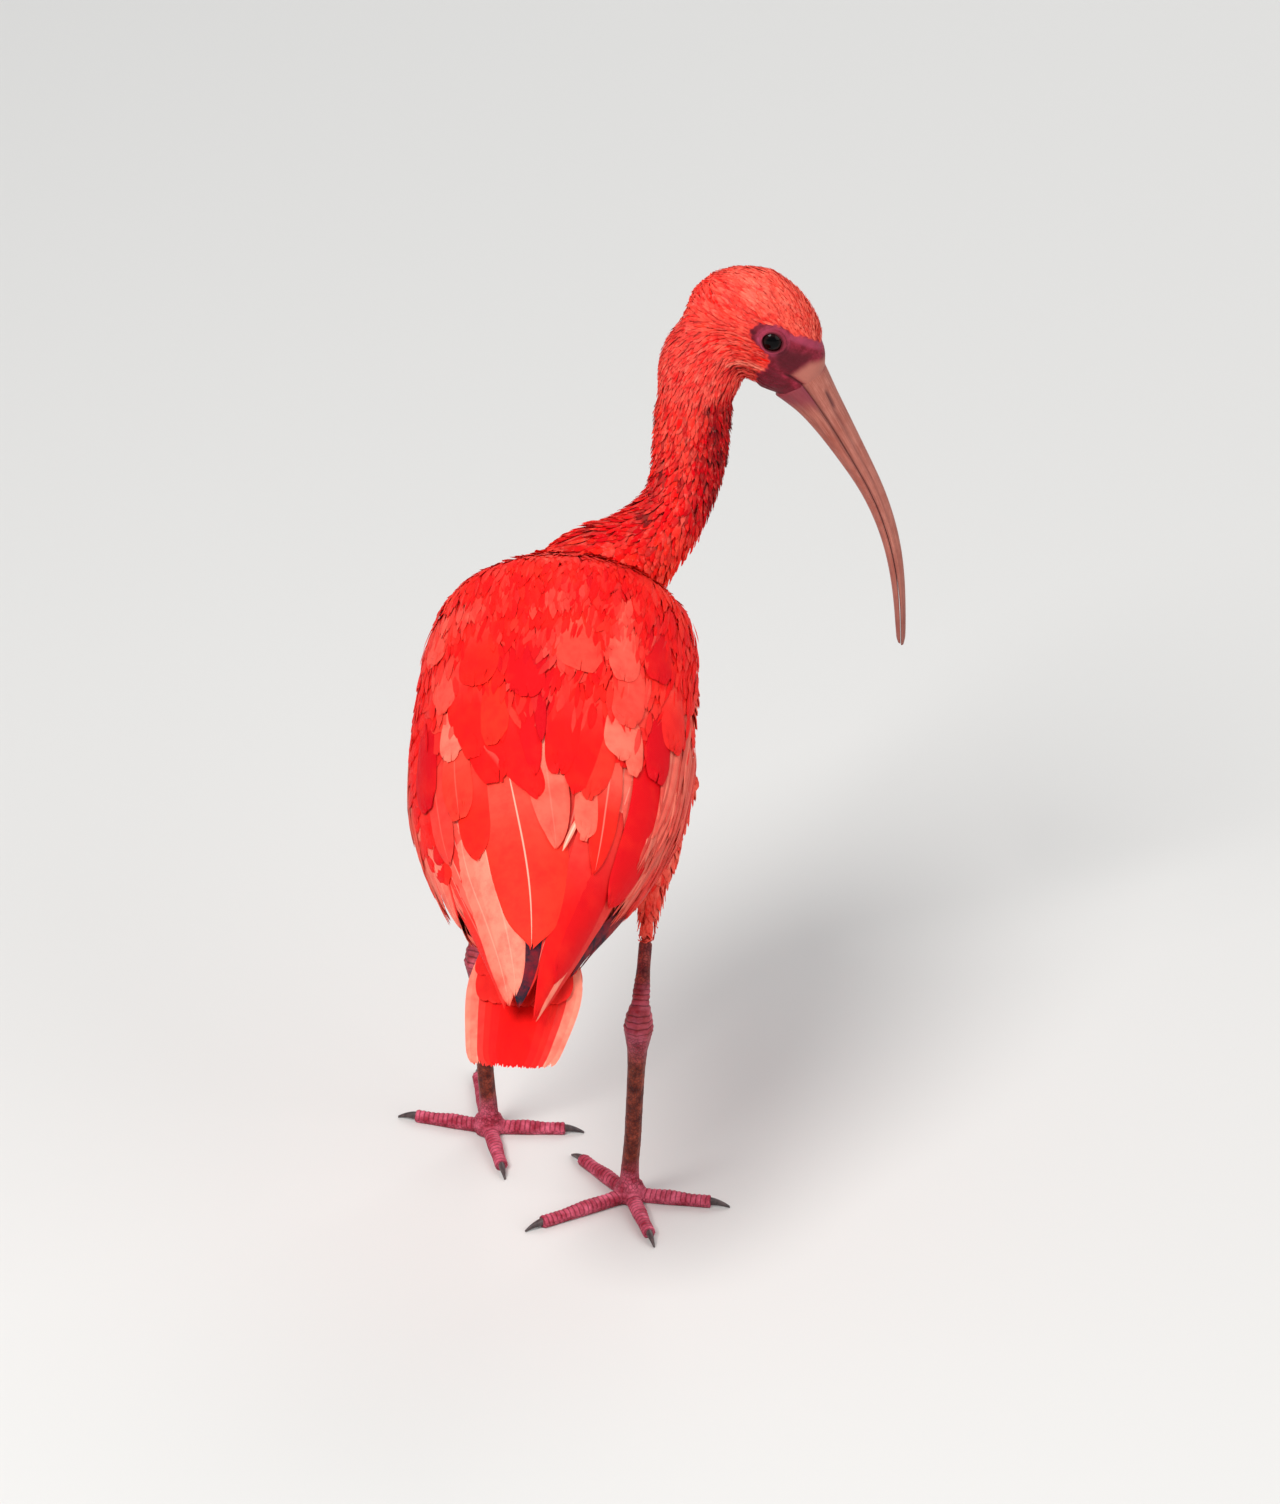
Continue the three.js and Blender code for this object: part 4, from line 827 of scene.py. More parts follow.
def make_stage():
    """The camera of the photograph's view, a plain floor, three lamps and soft daylight."""
    bearing, down = math.radians(VIEW["bearing"]), math.radians(VIEW["dip"])
    look = np.array([math.sin(bearing) * math.cos(down), math.cos(bearing) * math.cos(down), -math.sin(down)])
    right = np.array([math.cos(bearing), -math.sin(bearing), 0])
    up = np.cross(right, look)
    centre = np.array(VIEW["aim"]) - look * VIEW["distance"]
    data = bpy.data.cameras.new("camera")
    data.sensor_width = SENSOR
    data.lens = VIEW["distance"] / VIEW["scale"] * SENSOR / FRAME_PIXELS[1]
    data.clip_end = 50
    camera = bpy.data.objects.new("camera", data)
    bpy.context.scene.collection.objects.link(camera)
    turn = Matrix((right, up, -look)).transposed().to_4x4()
    camera.matrix_world = Matrix.Translation(Vector(metres(centre))) @ turn
    bpy.context.scene.camera = camera

    corners = [(x * FLOOR_HALF, y * FLOOR_HALF, 0) for x, y in ((-1, -1), (1, -1), (1, 1), (-1, 1))]
    mesh = bpy.data.meshes.new("floor")
    mesh.from_pydata(corners, [], [(0, 1, 2, 3)])
    material, add = new_material("pale_matt_floor")
    finish(add, FLOOR_GREY, {"Roughness": 0.9})
    floor = new_object("floor", mesh, material)

    for name, place, size, power in LAMPS:
        lamp = bpy.data.lights.new(name, "AREA")
        lamp.shape = "DISK"
        lamp.size = size
        lamp.energy = power
        lit = bpy.data.objects.new(name, lamp)
        lit.location = place
        lit.rotation_euler = (Vector(LAMPS_AIM) - Vector(place)).to_track_quat("-Z", "Y").to_euler()
        bpy.context.scene.collection.objects.link(lit)
    world = bpy.data.worlds.new("soft_daylight")
    world.use_nodes = True
    backdrop = world.node_tree.nodes["Background"]
    backdrop.inputs["Color"].default_value = linear(SKY)
    backdrop.inputs["Strength"].default_value = DAYLIGHT
    bpy.context.scene.world = world
    bpy.context.scene.view_settings.view_transform = "Standard"


make_stage()

VANE_MATERIAL = make_vane_material()
DOWN_MATERIAL = make_down_material()
SKIN_MATERIAL = make_skin_material()
BILL_MATERIAL = make_bill_material()
LEG_MATERIAL = make_leg_material()
CLAW_MATERIAL = make_claw_material()
EYE_MATERIAL = make_eye_material()


# Skin: one closed surface over head, neck, body and thighs, inside them by the coat's depth


def in_wing(along, angle):
    """How far a place is under a folded wing, from 0 to 1."""
    turn = (np.asarray(angle, float) + 180) % 360 - 180
    edge = np.where(turn < 0, column(WING_EDGE["left"], 1)(along), column(WING_EDGE["right"], 1)(along))
    return smooth_step(8, -8, np.abs(turn) - edge) * smooth_step(92, 76, along)


def inside_outline(outline, x, y):
    """How far points are inside a closed outline, in its own units. Outside it the distance is negative."""
    x, y = np.asarray(x, float), np.asarray(y, float)
    nearest = np.full(x.shape, 1e9)
    inside = np.zeros(x.shape, bool)
    for (x0, y0), (x1, y1) in zip(outline, outline[1:] + outline[:1]):
        run, rise = x1 - x0, y1 - y0
        share = np.clip(((x - x0) * run + (y - y0) * rise) / (run**2 + rise**2), 0, 1)
        nearest = np.minimum(nearest, np.hypot(x - x0 - share * run, y - y0 - share * rise))
        if rise:
            inside ^= ((y0 > y) != (y1 > y)) & (x < run * (y - y0) / rise + x0)
    return np.where(inside, nearest, -nearest)


def bare_face(points):
    """How bare the skin is, from 0 to 1: round the eye, on to the bill's root, and the chin."""
    ahead, above, _ = head_place(points)
    wavy = 0.3 * np.sin(ahead * 2.1 + 1) + 0.3 * np.sin(above * 2.6)
    return smooth_step(-0.5, 0.6, inside_outline(BARE_FACE, ahead, above) + wavy)


def eye_distance(points):
    """How far points of the skin are from the middle of the nearer eye, and whether they lie below it."""
    ahead, above, aside = head_place(points)
    off_ahead, off_above = (ahead - EYE["ahead"]) / LIDS["longer"], above - EYE["above"]
    reach = np.hypot(off_ahead, off_above) + 40 * (np.abs(aside) < 5)
    return reach, off_above / np.maximum(reach, 0.1)


def make_skin():
    """Body, neck, head and thighs, smaller by the coat's depth and joined in one closed mesh."""
    rows, sides = 60, 72
    t = (np.arange(rows + 1) + 0.3) / (rows + 0.3)
    along = PLUMAGE[0][0] + (RUMP_AT - 4 - PLUMAGE[0][0]) * (1 - np.cos(math.pi * t)) / 2
    turn = np.arange(sides) * 360 / sides
    places, turns = np.meshgrid(along, turn, indexing="ij")
    depth = mix(COAT["body"], COAT["wing"], in_wing(places, turns))
    depth = np.minimum(depth, 0.6 * plumage["wide"](places) + 0.5)
    body = on_plumage(places, turns) - scale3(1, depth) * plumage_normal(places, turns)
    shapes = [closed_tube("body", body)]
    shapes.append(closed_tube("neck", limb_rings(NECK, -LEVEL, 40, 60, COAT["neck"])))
    shape = sections(HEAD)
    ahead = HEAD[0][0] + (31 - HEAD[0][0]) * (np.arange(61) / 60) ** 1.3 + 0.05
    around = np.radians(np.arange(64) * 360 / 64)
    a, b = np.meshgrid(ahead, around, indexing="ij")
    high = np.where(np.cos(b) >= 0, shape["above"](a), shape["below"](a))
    head = in_head(a, shape["rise"](a) + np.cos(b) * high, np.sin(b) * shape["wide"](a))
    middle = in_head(a, shape["rise"](a), 0 * a)
    depth = mix(COAT["head"], COAT["face"], bare_face(head)) + 2.2 * smooth_step(23, 31, a)
    out = unit(head - middle)
    head = head - scale3(1, np.minimum(depth, np.linalg.norm(head - middle, axis=-1) * 0.9)) * out
    shapes.append(closed_tube("head", head))
    for leg in LEGS.values():
        shapes.append(closed_tube("thigh", limb_rings(leg["thigh"], (0, -1, 0), 32, 30, COAT["thigh"])))
    return remeshed(join_shapes("flesh", shapes), **SKIN_VOXELS)


def join_shapes(name, shapes):
    """One object from several meshes."""
    pieces = [new_object(name, mesh) for mesh in shapes]
    with bpy.context.temp_override(
        active_object=pieces[0], selected_objects=pieces, selected_editable_objects=pieces
    ):
        bpy.ops.object.join()
    return pieces[0]


def remeshed(piece, voxel, easing):
    """One closed skin round overlapping shapes, in voxels of a size in millimetres, eased smooth."""
    voxels = piece.modifiers.new("voxels", "REMESH")
    voxels.mode = "VOXEL"
    voxels.voxel_size = voxel / 1000
    voxels.use_smooth_shade = True
    ease = piece.modifiers.new("ease", "SMOOTH")
    ease.iterations = easing
    ease.factor = 0.5
    graph = bpy.context.evaluated_depsgraph_get()
    mesh = bpy.data.meshes.new_from_object(piece.evaluated_get(graph))
    bpy.data.objects.remove(piece)
    mesh.materials.clear()
    return mesh


def read_vectors(items, key):
    """A vector from each of a mesh's items."""
    values = np.empty(len(items) * 3, np.float32)
    items.foreach_get(key, values)
    return values.reshape(-1, 3).astype(float)


def mesh_points(mesh):
    """The mesh's points in the bird's frame."""
    return read_vectors(mesh.vertices, "co") * 1000 + SHIFT


def mesh_normals(mesh):
    """The ways out of the mesh at its points."""
    return read_vectors(mesh.vertex_normals, "vector")


def move_points(mesh, points):
    """Puts the mesh's points at places in the bird's frame."""
    mesh.vertices.foreach_set("co", metres(points).astype(np.float32).ravel())
    mesh.update()


def off_mouth(ahead, above):
    """How far places in the head are above the line of the mouth."""
    return above + MOUTH["below"] - MOUTH["slope"] * (ahead - MOUTH["corner"])


def refine_face(mesh):
    """Eases the nape into the crown, splits the faces of the bare face finely, for its folds and markings,
    and shapes the eye's socket."""
    work = bmesh.new()
    work.from_mesh(mesh)
    nape = Vector(metres(in_head(NAPE["ahead"], NAPE["above"])))
    behind = [vertex for vertex in work.verts if (vertex.co - nape).length < NAPE["reach"] / 1000]
    axes = {"use_axis_x": True, "use_axis_y": True, "use_axis_z": True}
    for _ in range(NAPE["easing"]):
        bmesh.ops.smooth_vert(work, verts=behind, factor=0.5, **axes)
    middles = np.array([f.calc_center_median() for f in work.faces]) * 1000 + SHIFT
    ahead, above, _ = head_place(middles)
    near = (inside_outline(BARE_FACE, ahead, above) > -2.5) & (middles[:, 2] > 300)
    work.faces.ensure_lookup_table()
    edges = {edge for i in np.flatnonzero(near) for edge in work.faces[i].edges}
    bmesh.ops.subdivide_edges(work, edges=list(edges), cuts=2, use_grid_fill=True, smooth=0.0)
    work.to_mesh(mesh)
    work.free()
    points, normals = mesh_points(mesh), mesh_normals(mesh)
    reach, _ = eye_distance(points)
    ahead, above, aside = head_place(points)
    folds = EYE_FOLDS["deep"] * np.cos(2 * math.pi * (reach - EYE_FOLDS["from"]) / EYE_FOLDS["apart"])
    folds = folds * smooth_step(EYE_FOLDS["from"], 6.3, reach) * smooth_step(10, 6.5, reach)
    gape = np.hypot(np.maximum(MOUTH["corner"] - ahead, 0), off_mouth(ahead, above))
    mouth = smooth_step(1.1, 0.2, gape) * smooth_step(12, 16, ahead) * (np.abs(aside) > 3)
    socket = smooth_step(4.6, 3.6, reach)
    lore = LORE_LINES["deep"] * np.cos(2 * math.pi * (above - 0.25 * ahead) / LORE_LINES["apart"])
    lore = lore * smooth_step(4, 8, ahead) * smooth_step(20, 16, ahead)
    push = bare_face(points) * (folds + lore - MOUTH["deep"] * mouth) - SOCKET_DEPTH * socket
    move_points(mesh, points + normals * push[:, None])


skin_mesh = make_skin()
refine_face(skin_mesh)
SKIN_POINTS = mesh_points(skin_mesh)
skin_mesh.calc_loop_triangles()
corners = np.empty(len(skin_mesh.loop_triangles) * 3, np.int32)
skin_mesh.loop_triangles.foreach_get("vertices", corners)
SKIN_TRIANGLES = corners.reshape(-1, 3)
SKIN_TREE = BVHTree.FromPolygons([Vector(p) for p in SKIN_POINTS], SKIN_TRIANGLES.tolist())


# Markings, the same for skin and coat


def body_place(points):
    """Where points lie along the body's axis, and their angle from the back to the right."""
    off = points - np.array(BODY_CENTRE, float)
    along = off @ ALONG
    up = off @ DORSAL - plumage["rise"](along)
    return along, np.degrees(np.arctan2(off @ X, up))


def patches(along, angle):
    """How the patches on the back shift the tone and the paleness at places of the body."""
    tone, pale = 0.0, 0.0
    for at, turn, reach, spread, more_tone, more_pale in BACK_PATCHES:
        near = np.exp(-(((along - at) / reach) ** 2) - ((angle - turn) / spread) ** 2)
        tone = tone + more_tone * near
        pale = pale + PATCH_PALENESS * more_pale * near
    return tone, pale


def body_markings(points, on_neck):
    """Tone and paleness that the body's shape gives, apart from the neck and the head, and painted shade that
    makes the lower neck darker and deeper red.
    """
    along, angle = body_place(points)
    shift, pale = patches(along, angle)
    off_neck = 1 - on_neck
    shoulder = smooth_step(60, 90, along) * off_neck
    flank = smooth_step(55, 80, np.abs(angle)) * smooth_step(70, 40, along) * off_neck
    rear = smooth_step(-30, -70, along) * off_neck
    # low marks the lower neck, painted deeper red and less pale as painted shade
    low = smooth_step(325, 285, points[:, 2])
    tone = mix(0.5 + shift, 0.45, on_neck) + 0.3 * shoulder
    pale = mix(0.06 + pale, 0.17 - 0.13 * low, on_neck) + 0.3 * flank + 0.2 * rear
    return tone - 0.25 * low * on_neck, pale


def neck_markings(points, on_neck, bare_of_head):
    """What the neck adds to tone, paleness and darkness: streaks down it, painted shade that darkens its
    front, and blots.
    """
    height = points[:, 2]
    turn = np.arctan2(points[:, 1] - NECK_MIDDLE[1], points[:, 0] - NECK_MIDDLE[0])
    ruffle = np.sin(turn * 9 + height * 0.16 + 1.6 * np.sin(height * 0.11 + 2 * turn))
    streaks = smooth_step(0.35, 0.9, ruffle) * bare_of_head
    # front marks the neck's right side, painted darker and deeper red as painted shade on the side away from
    # the light
    front = smooth_step(0.3, 1.0, np.cos(turn + 0.25)) * bare_of_head
    blot = np.sin(height * 0.31 + 2.3 * np.sin(turn * 3 + height * 0.07))
    blot = blot * np.sin(turn * 5 + 1.7 * np.sin(height * 0.21))
    blot = smooth_step(0.45, 0.9, blot) * bare_of_head
    # The share that front takes in tone, paleness and darkness here is painted shade
    tone = -0.3 * streaks - 0.4 * front + 0.1 * (1 - front) * on_neck
    dark = 0.04 * bare_of_head + 0.26 * blot + 0.1 * streaks + 0.26 * front * smooth_step(270, 298, height)
    return tone, -0.15 * front, dark


def markings(points):
    """Tone from crimson to orange, and how pale and dark, over the small feathers of head, neck and body."""
    ahead, above, aside = head_place(points)
    on_neck = smooth_step(*NECK_FROM, points[:, 2])
    on_head = smooth_step(*HEAD_FROM, points[:, 2])
    tone, pale = body_markings(points, on_neck)
    more_tone, more_pale, dark = neck_markings(points, on_neck, on_neck * (1 - on_head))
    crown = smooth_step(0, 10, above) * on_head
    dusk = smooth_step(8, 15, ahead) * smooth_step(2, 8, above) * on_head
    spots = smooth_step(0.62, 0.95, np.sin(ahead * 0.46 + 1.1) * np.sin(above * 0.55 + 0.4 * ahead))
    throat = smooth_step(-17, -23, above) * on_head
    tone = tone + more_tone + 0.2 * crown - 0.6 * dusk - 0.5 * spots * on_head - 0.4 * throat
    pale = pale + more_pale + 0.16 * crown + 0.06 * on_head
    # A pale line low on the side of the head is painted highlight, and the dark line under it painted shade
    ridge_highlight = smooth_step(2.0, 0.7, np.abs(above + 18.4 - 0.5 * ahead)) * smooth_step(-9, -4, ahead)
    ridge_highlight = ridge_highlight * smooth_step(9, 6, ahead) * on_head * (np.abs(aside) > 4)
    under = smooth_step(1.6, 0.4, np.abs(above + 21.6 - 0.5 * ahead)) * smooth_step(-9, -4, ahead)
    under = under * smooth_step(8, 5, ahead) * on_head * (np.abs(aside) > 3)
    return tone, np.maximum(pale, 0.75 * ridge_highlight), dark + 0.35 * under


def face_markings(ahead, above):
    """Where the bare face is mauve, maroon or horn, by places in the head, apart from round the eye. The
    maroon along the line of the mouth is painted shade in its crease.
    """
    band = smooth_step(2.4, 0.8, np.abs(above - 4.2 - 0.24 * ahead)) * smooth_step(-1, 4, ahead)
    band = band * smooth_step(24, 19, ahead)
    lore = smooth_step(-2.6, 2.2, inside_outline(DARK_LORE, ahead, above))
    chin = smooth_step(-11, -12.6, above + 0.1 * (ahead - 15)) * smooth_step(4, 8, ahead)
    corner = smooth_step(1.6, 0.6, np.hypot(ahead + 10.8, above + 4.2))
    # The line of the mouth is painted maroon as painted shade in its crease
    mouth = smooth_step(0.9, 0.3, np.abs(off_mouth(ahead, above))) * smooth_step(12, 15, ahead)
    edge = smooth_step(1.4, 0.2, np.abs(inside_outline(BARE_FACE, ahead, above) - 0.7))
    edge = edge * smooth_step(4, 0, above)
    maroon = np.maximum.reduce([0.85 * lore, 0.6 * chin, 0.9 * corner, mouth, 0.5 * edge])
    return 0.5 * band, maroon, smooth_step(-1.6, 2.4, inside_outline(HORN_ROOT, ahead, above)) * (1 - mouth)


def finish_skin(mesh):
    """Keeps the markings on the skin and puts it in the place of the solid flesh."""
    tone, pale, dark = markings(SKIN_POINTS)
    ahead, above, _ = head_place(SKIN_POINTS)
    reach, down = eye_distance(SKIN_POINTS)
    band, maroon, horn = face_markings(ahead, above)
    crescent = smooth_step(7.2, 6.4, reach) * smooth_step(5.2, 5.8, reach) * smooth_step(-0.1, -0.6, down)
    ring = smooth_step(8.5, 6.5, reach) * 0.35
    mauve = np.maximum.reduce([0.8 * crescent, band, ring])
    add_values(mesh, tone=tone - 0.2, pale=pale * 0.6, dark=dark + 0.05)
    add_values(mesh, bare=bare_face(SKIN_POINTS), mauve=mauve, maroon=maroon, horn=horn)
    skin = new_object("skin", mesh, SKIN_MATERIAL)
    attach(skin, "root")
    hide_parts("head", "neck_upper", "neck_lower", "torso", "thigh_left", "thigh_right")


finish_skin(skin_mesh)


# Feathers


def grid_faces(rows, columns):
    """Faces of a closed leaf: an upper grid of points and an under side that shares its rim."""
    upper = np.arange((rows + 1) * (columns + 1)).reshape(rows + 1, columns + 1)
    under = upper.copy()
    inner = (rows - 1) * (columns - 1)
    under[1:-1, 1:-1] = upper.size + np.arange(inner).reshape(rows - 1, columns - 1)
    quads = []
    for sheet, turned in ((upper, False), (under, True)):
        a, b, c, d = sheet[:-1, :-1], sheet[:-1, 1:], sheet[1:, 1:], sheet[1:, :-1]
        order = (a, d, c, b) if turned else (a, b, c, d)
        quads.append(np.stack(order, -1).reshape(-1, 4))
    return np.concatenate(quads), upper.size + inner


def both_sides(grid, under=None):
    """A feather's grid of values and, after it, those of its under side, which shares the rim."""
    under = grid[:, 1:-1, 1:-1] if under is None else under
    flat = (len(grid), -1) + grid.shape[3:]
    return np.concatenate([grid.reshape(flat), under.reshape(flat)], 1)


def make_coat(name, vanes, material, replaces=(), thick=VANE_THICK):
    """One piece of coat from many feathers. Each of vanes holds grids of points and their markings."""
    points = np.concatenate([v["points"] for v in vanes])
    count, rows, columns = points.shape[0], points.shape[1] - 1, points.shape[2] - 1
    forward = points[:, 2:, 1:-1] - points[:, :-2, 1:-1]
    across = points[:, 1:-1, 2:] - points[:, 1:-1, :-2]
    under = points[:, 1:-1, 1:-1] - unit(np.cross(across, forward)) * thick
    faces, size = grid_faces(rows, columns)
    faces = (faces[None] + (np.arange(count) * size)[:, None, None]).reshape(-1, 4)
    mesh = mesh_from(name, both_sides(points, under), faces)
    mesh.set_sharp_from_angle(angle=SHARP_FROM)
    for key in ("tone", "pale", "dark", "shaft"):
        values = np.concatenate([np.broadcast_to(v[key], v["points"].shape[:3]) for v in vanes])
        add_values(mesh, **{key: both_sides(values)})
    t, s = np.meshgrid(np.arange(rows + 1) / rows, np.arange(columns + 1) / columns * 2 - 1, indexing="ij")
    sizes = np.concatenate([v["size"] for v in vanes])
    local = np.stack([s[None] * sizes[:, 1, None, None], t[None] * sizes[:, 0, None, None]], -1)
    add_uv(mesh, "Vane", both_sides(local).reshape(-1, 2)[faces.ravel()])
    patch = both_sides(np.stack([s, t], -1)[None]) - (0, 0.5)
    roots = np.concatenate([v["root"] for v in vanes])
    bake = unwrap(roots)[:, None] + patch * PATCH_SIZE
    add_uv(mesh, "OFBake", bake.reshape(-1, 2)[faces.ravel()])
    mesh.uv_layers.active = mesh.uv_layers["OFBake"]
    piece = new_object(name, mesh, material)
    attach(piece, "root")
    if replaces:
        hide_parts(*replaces)


def unwrap(points):
    """A place on an unwrap of the bird's own shape: bands round the body, the neck and the head."""
    along, angle = body_place(points)
    ahead, above, aside = head_place(points)
    height = points[:, 2]
    on_head = (height > HEAD_FROM[0]) & (ahead > -45)
    on_neck = (height > NECK_FROM[1] - 18) & ~on_head
    neck_angle = np.degrees(np.arctan2(points[:, 1] - NECK_MIDDLE[1], points[:, 0] - NECK_MIDDLE[0]))
    head_angle = np.degrees(np.arctan2(aside, above + 6))
    bands = [
        (~on_neck & ~on_head, angle, (along + 170) / 290, 0.02, 0.5),
        (on_neck, neck_angle, (height - 270) / 70, 0.56, 0.14),
        (on_head, head_angle, (ahead + 45) / 75, 0.74, 0.22),
    ]
    u, v = np.zeros(len(points)), np.zeros(len(points))
    for inside, turn, share, low, high in bands:
        u = np.where(inside, 0.02 + 0.96 * ((turn / 360) % 1), u)
        v = np.where(inside, low + high * np.clip(share, 0, 1), v)
    return np.stack([u, v], -1)


def vane_rows(rows):
    """Shares of a feather's length for its rows of points, closer at the tip."""
    return 1 - (1 - np.linspace(0, 1, rows + 1)) ** 1.35


def each(values, count):
    """One value per feather, shaped to spread over its grid."""
    return np.broadcast_to(np.asarray(values, float), (count,))[:, None, None]


def body_vanes(root, tip, half, lift, outline, rows=12, columns=6, tilt=0.0, tone=0.5, pale=0.0,
               base_pale=0.3, dark=0.0, dark_from=1.2, shaft=0.0, camber=0.5, ragged=0.03, bend=0.0,
               edge_pale=0.0):
    """Large feathers laid over the plumage's surface. root and tip are places along and angles, one per
    feather, and lift the height of their faces over it from root to tip. tilt raises their right edge."""
    root, tip = np.asarray(root, float).reshape(-1, 2), np.asarray(tip, float).reshape(-1, 2)
    count = len(root)
    t = vane_rows(rows)[None, :, None]
    s = np.linspace(-1, 1, columns + 1)[None, None, :]
    length = np.maximum(root[:, 0] - tip[:, 0], 1)
    fray = rng.uniform(-ragged, ragged, (count, 1, columns + 1)) * smooth_step(0.7, 1, t)
    share = np.clip(t + fray * (1 - s**2 * 0.5), 0, 1.02)
    along = mix(each(root[:, 0], count), each(tip[:, 0], count), share)
    angle = mix(each(root[:, 1], count), each(tip[:, 1], count), t)
    angle = angle + each(bend, count) * 4 * t * (1 - t) + 0 * s
    wide = column(outline, 1)(t)
    half = each(half, count)
    step = 0.5
    girth = np.linalg.norm(on_plumage(along, angle + step) - on_plumage(along, angle - step), axis=-1)
    angle = angle + s * wide * half / np.maximum(girth, 0.12)
    lift = np.broadcast_to(np.asarray(lift, float).reshape(-1, 2), (count, 2))
    height = mix(each(lift[:, 0], count), each(lift[:, 1], count), t**0.7) + each(tilt, count) * s * wide
    height = height - camber * s**2 * wide
    thin = np.minimum(1, plumage["wide"](along) / 15)
    pales = each(pale, count) + each(base_pale, count) * smooth_step(0.6, 0.1, t)
    return {
        "points": on_plumage(along, angle) + plumage_normal(along, angle) * (height * thin)[..., None],
        "tone": each(tone, count),
        "pale": np.clip(pales + each(edge_pale, count) * smooth_step(0.7, 1, np.abs(s)), 0, 1),
        "dark": each(dark, count) * smooth_step(dark_from, dark_from + 0.08, t),
        "shaft": each(shaft, count),
        "size": np.stack([length, half[:, 0, 0]], -1),
        "root": on_plumage(root[:, 0], root[:, 1]),
    }


def across_wing(side, along, share):
    """The angle at a share of the way from where the wings meet to the wing's lower edge."""
    edge = column(WING_EDGE[side], 1)(along)
    return SIDES[side] * share * edge + (1 - share) * column(MEETING, 1)(along)


def make_flight(side):
    """The long flight feathers of a folded wing."""
    order = np.linspace(0, 1, FLIGHT["count"])
    jitter = rng.uniform(-1, 1, (4, FLIGHT["count"]))
    start = mix(*FLIGHT["start"], order) + jitter[0] * 2
    end = mix(*FLIGHT["end"], order) + jitter[1] * 2
    root = np.stack([start, across_wing(side, start, mix(*FLIGHT["root"], order))], -1)
    tip = np.stack([end, across_wing(side, end, mix(*FLIGHT["tip"], order))], -1)
    tone, pale = 0.35 + 0.15 * jitter[2], 0.3 + 0.25 * jitter[3]
    return body_vanes(root, tip, 9, (-3.6, -1.6), POINTED, tone=tone, pale=pale, base_pale=0.2,
                      tilt=SIDES[side] * 0.35, shaft=0.3)


def make_covert_row(side, at):
    """A row of rounded coverts over a folded wing at a place along it, laid unevenly."""
    spread = 0.93 if at > -40 else 0.86
    count = int(mix(7, 11, min(1, max(0, (at + 60) / 60))))
    share = (np.arange(count) + rng.uniform(0.1, 0.9)) / count * spread
    share = share + rng.uniform(-COVERTS["uneven"], COVERTS["uneven"], count) / count
    start = at + rng.uniform(*COVERTS["shift"], count)
    end = start - (rng.uniform(*COVERTS["long"], count) + 0.12 * max(0, 20 - at))
    root = np.stack([start, across_wing(side, start, np.clip(share, 0, spread))], -1)
    tip = np.stack([end, across_wing(side, end, np.clip(share * 0.97, 0, spread))], -1)
    clear = (end > -30) | (np.abs(tip[:, 1]) > 62)
    root, tip, end, count = root[clear], tip[clear], end[clear], int(clear.sum())
    if not count:
        return []
    shift, pale = patches(end + 4, tip[:, 1])
    high = rng.uniform(-0.15, 0.15, count)
    lift = np.stack([high - mix(3, 7, smooth_step(64, 88, at)), high - 1.1], -1)
    half = rng.uniform(*COVERTS["half"], count)
    tone = 0.48 + shift + rng.normal(0, 0.1, count)
    pale = np.clip(pale + rng.uniform(-0.08, 0.06, count), 0, 0.8)
    return [body_vanes(root, tip, half, lift, ROUND_TIP, rows=8, columns=6, tone=tone, pale=pale,
                       base_pale=0.2, tilt=SIDES[side] * 0.25, ragged=0.08, camber=0.45,
                       bend=rng.uniform(*COVERTS["bend"], count))]


def make_wing(side):
    """A folded wing: flight feathers below, rows of coverts over them, and dark tips."""
    flight = [make_flight(side)]
    coverts = [vanes for at in COVERT_ROWS for vanes in make_covert_row(side, at)]
    make_coat(f"flight_feathers_{side}", flight, VANE_MATERIAL, [f"wing_{side}"])
    make_coat(f"wing_coverts_{side}", coverts, VANE_MATERIAL)
    tips = [body_vanes(root, tip, half, (-3.4, lift), POINTED, tone=0.3, pale=0.1, dark=1.0, dark_from=0.45,
                       bend=bend) for root, tip, bend, half, lift in DARK_TIPS[side]]
    make_coat(f"primary_feathers_{side}", tips, VANE_MATERIAL, [f"primaries_{side}"])


def make_back(side):
    """The large feathers of one side of the back, frayed where their tips are soft."""
    vanes = []
    for root, tip, bend, half, lift, tone, pale, base_pale, edge_pale, shaft, outline in BACK_FEATHERS[side]:
        soft = outline is ROUND_TIP
        high = lift - 0.55 * float(smooth_step(-10, 40, tip[0]))
        vanes.append(body_vanes(root, tip, half, (high - 1.6, high), outline, rows=22, columns=16, tone=tone,
                                pale=pale, base_pale=base_pale, edge_pale=edge_pale, shaft=shaft, bend=bend,
                                camber=0.045 * half + 0.15, ragged=0.16 if soft else 0.03))
    make_coat(f"back_feathers_{side}", vanes, VANE_MATERIAL, [f"scapulars_{side}"])


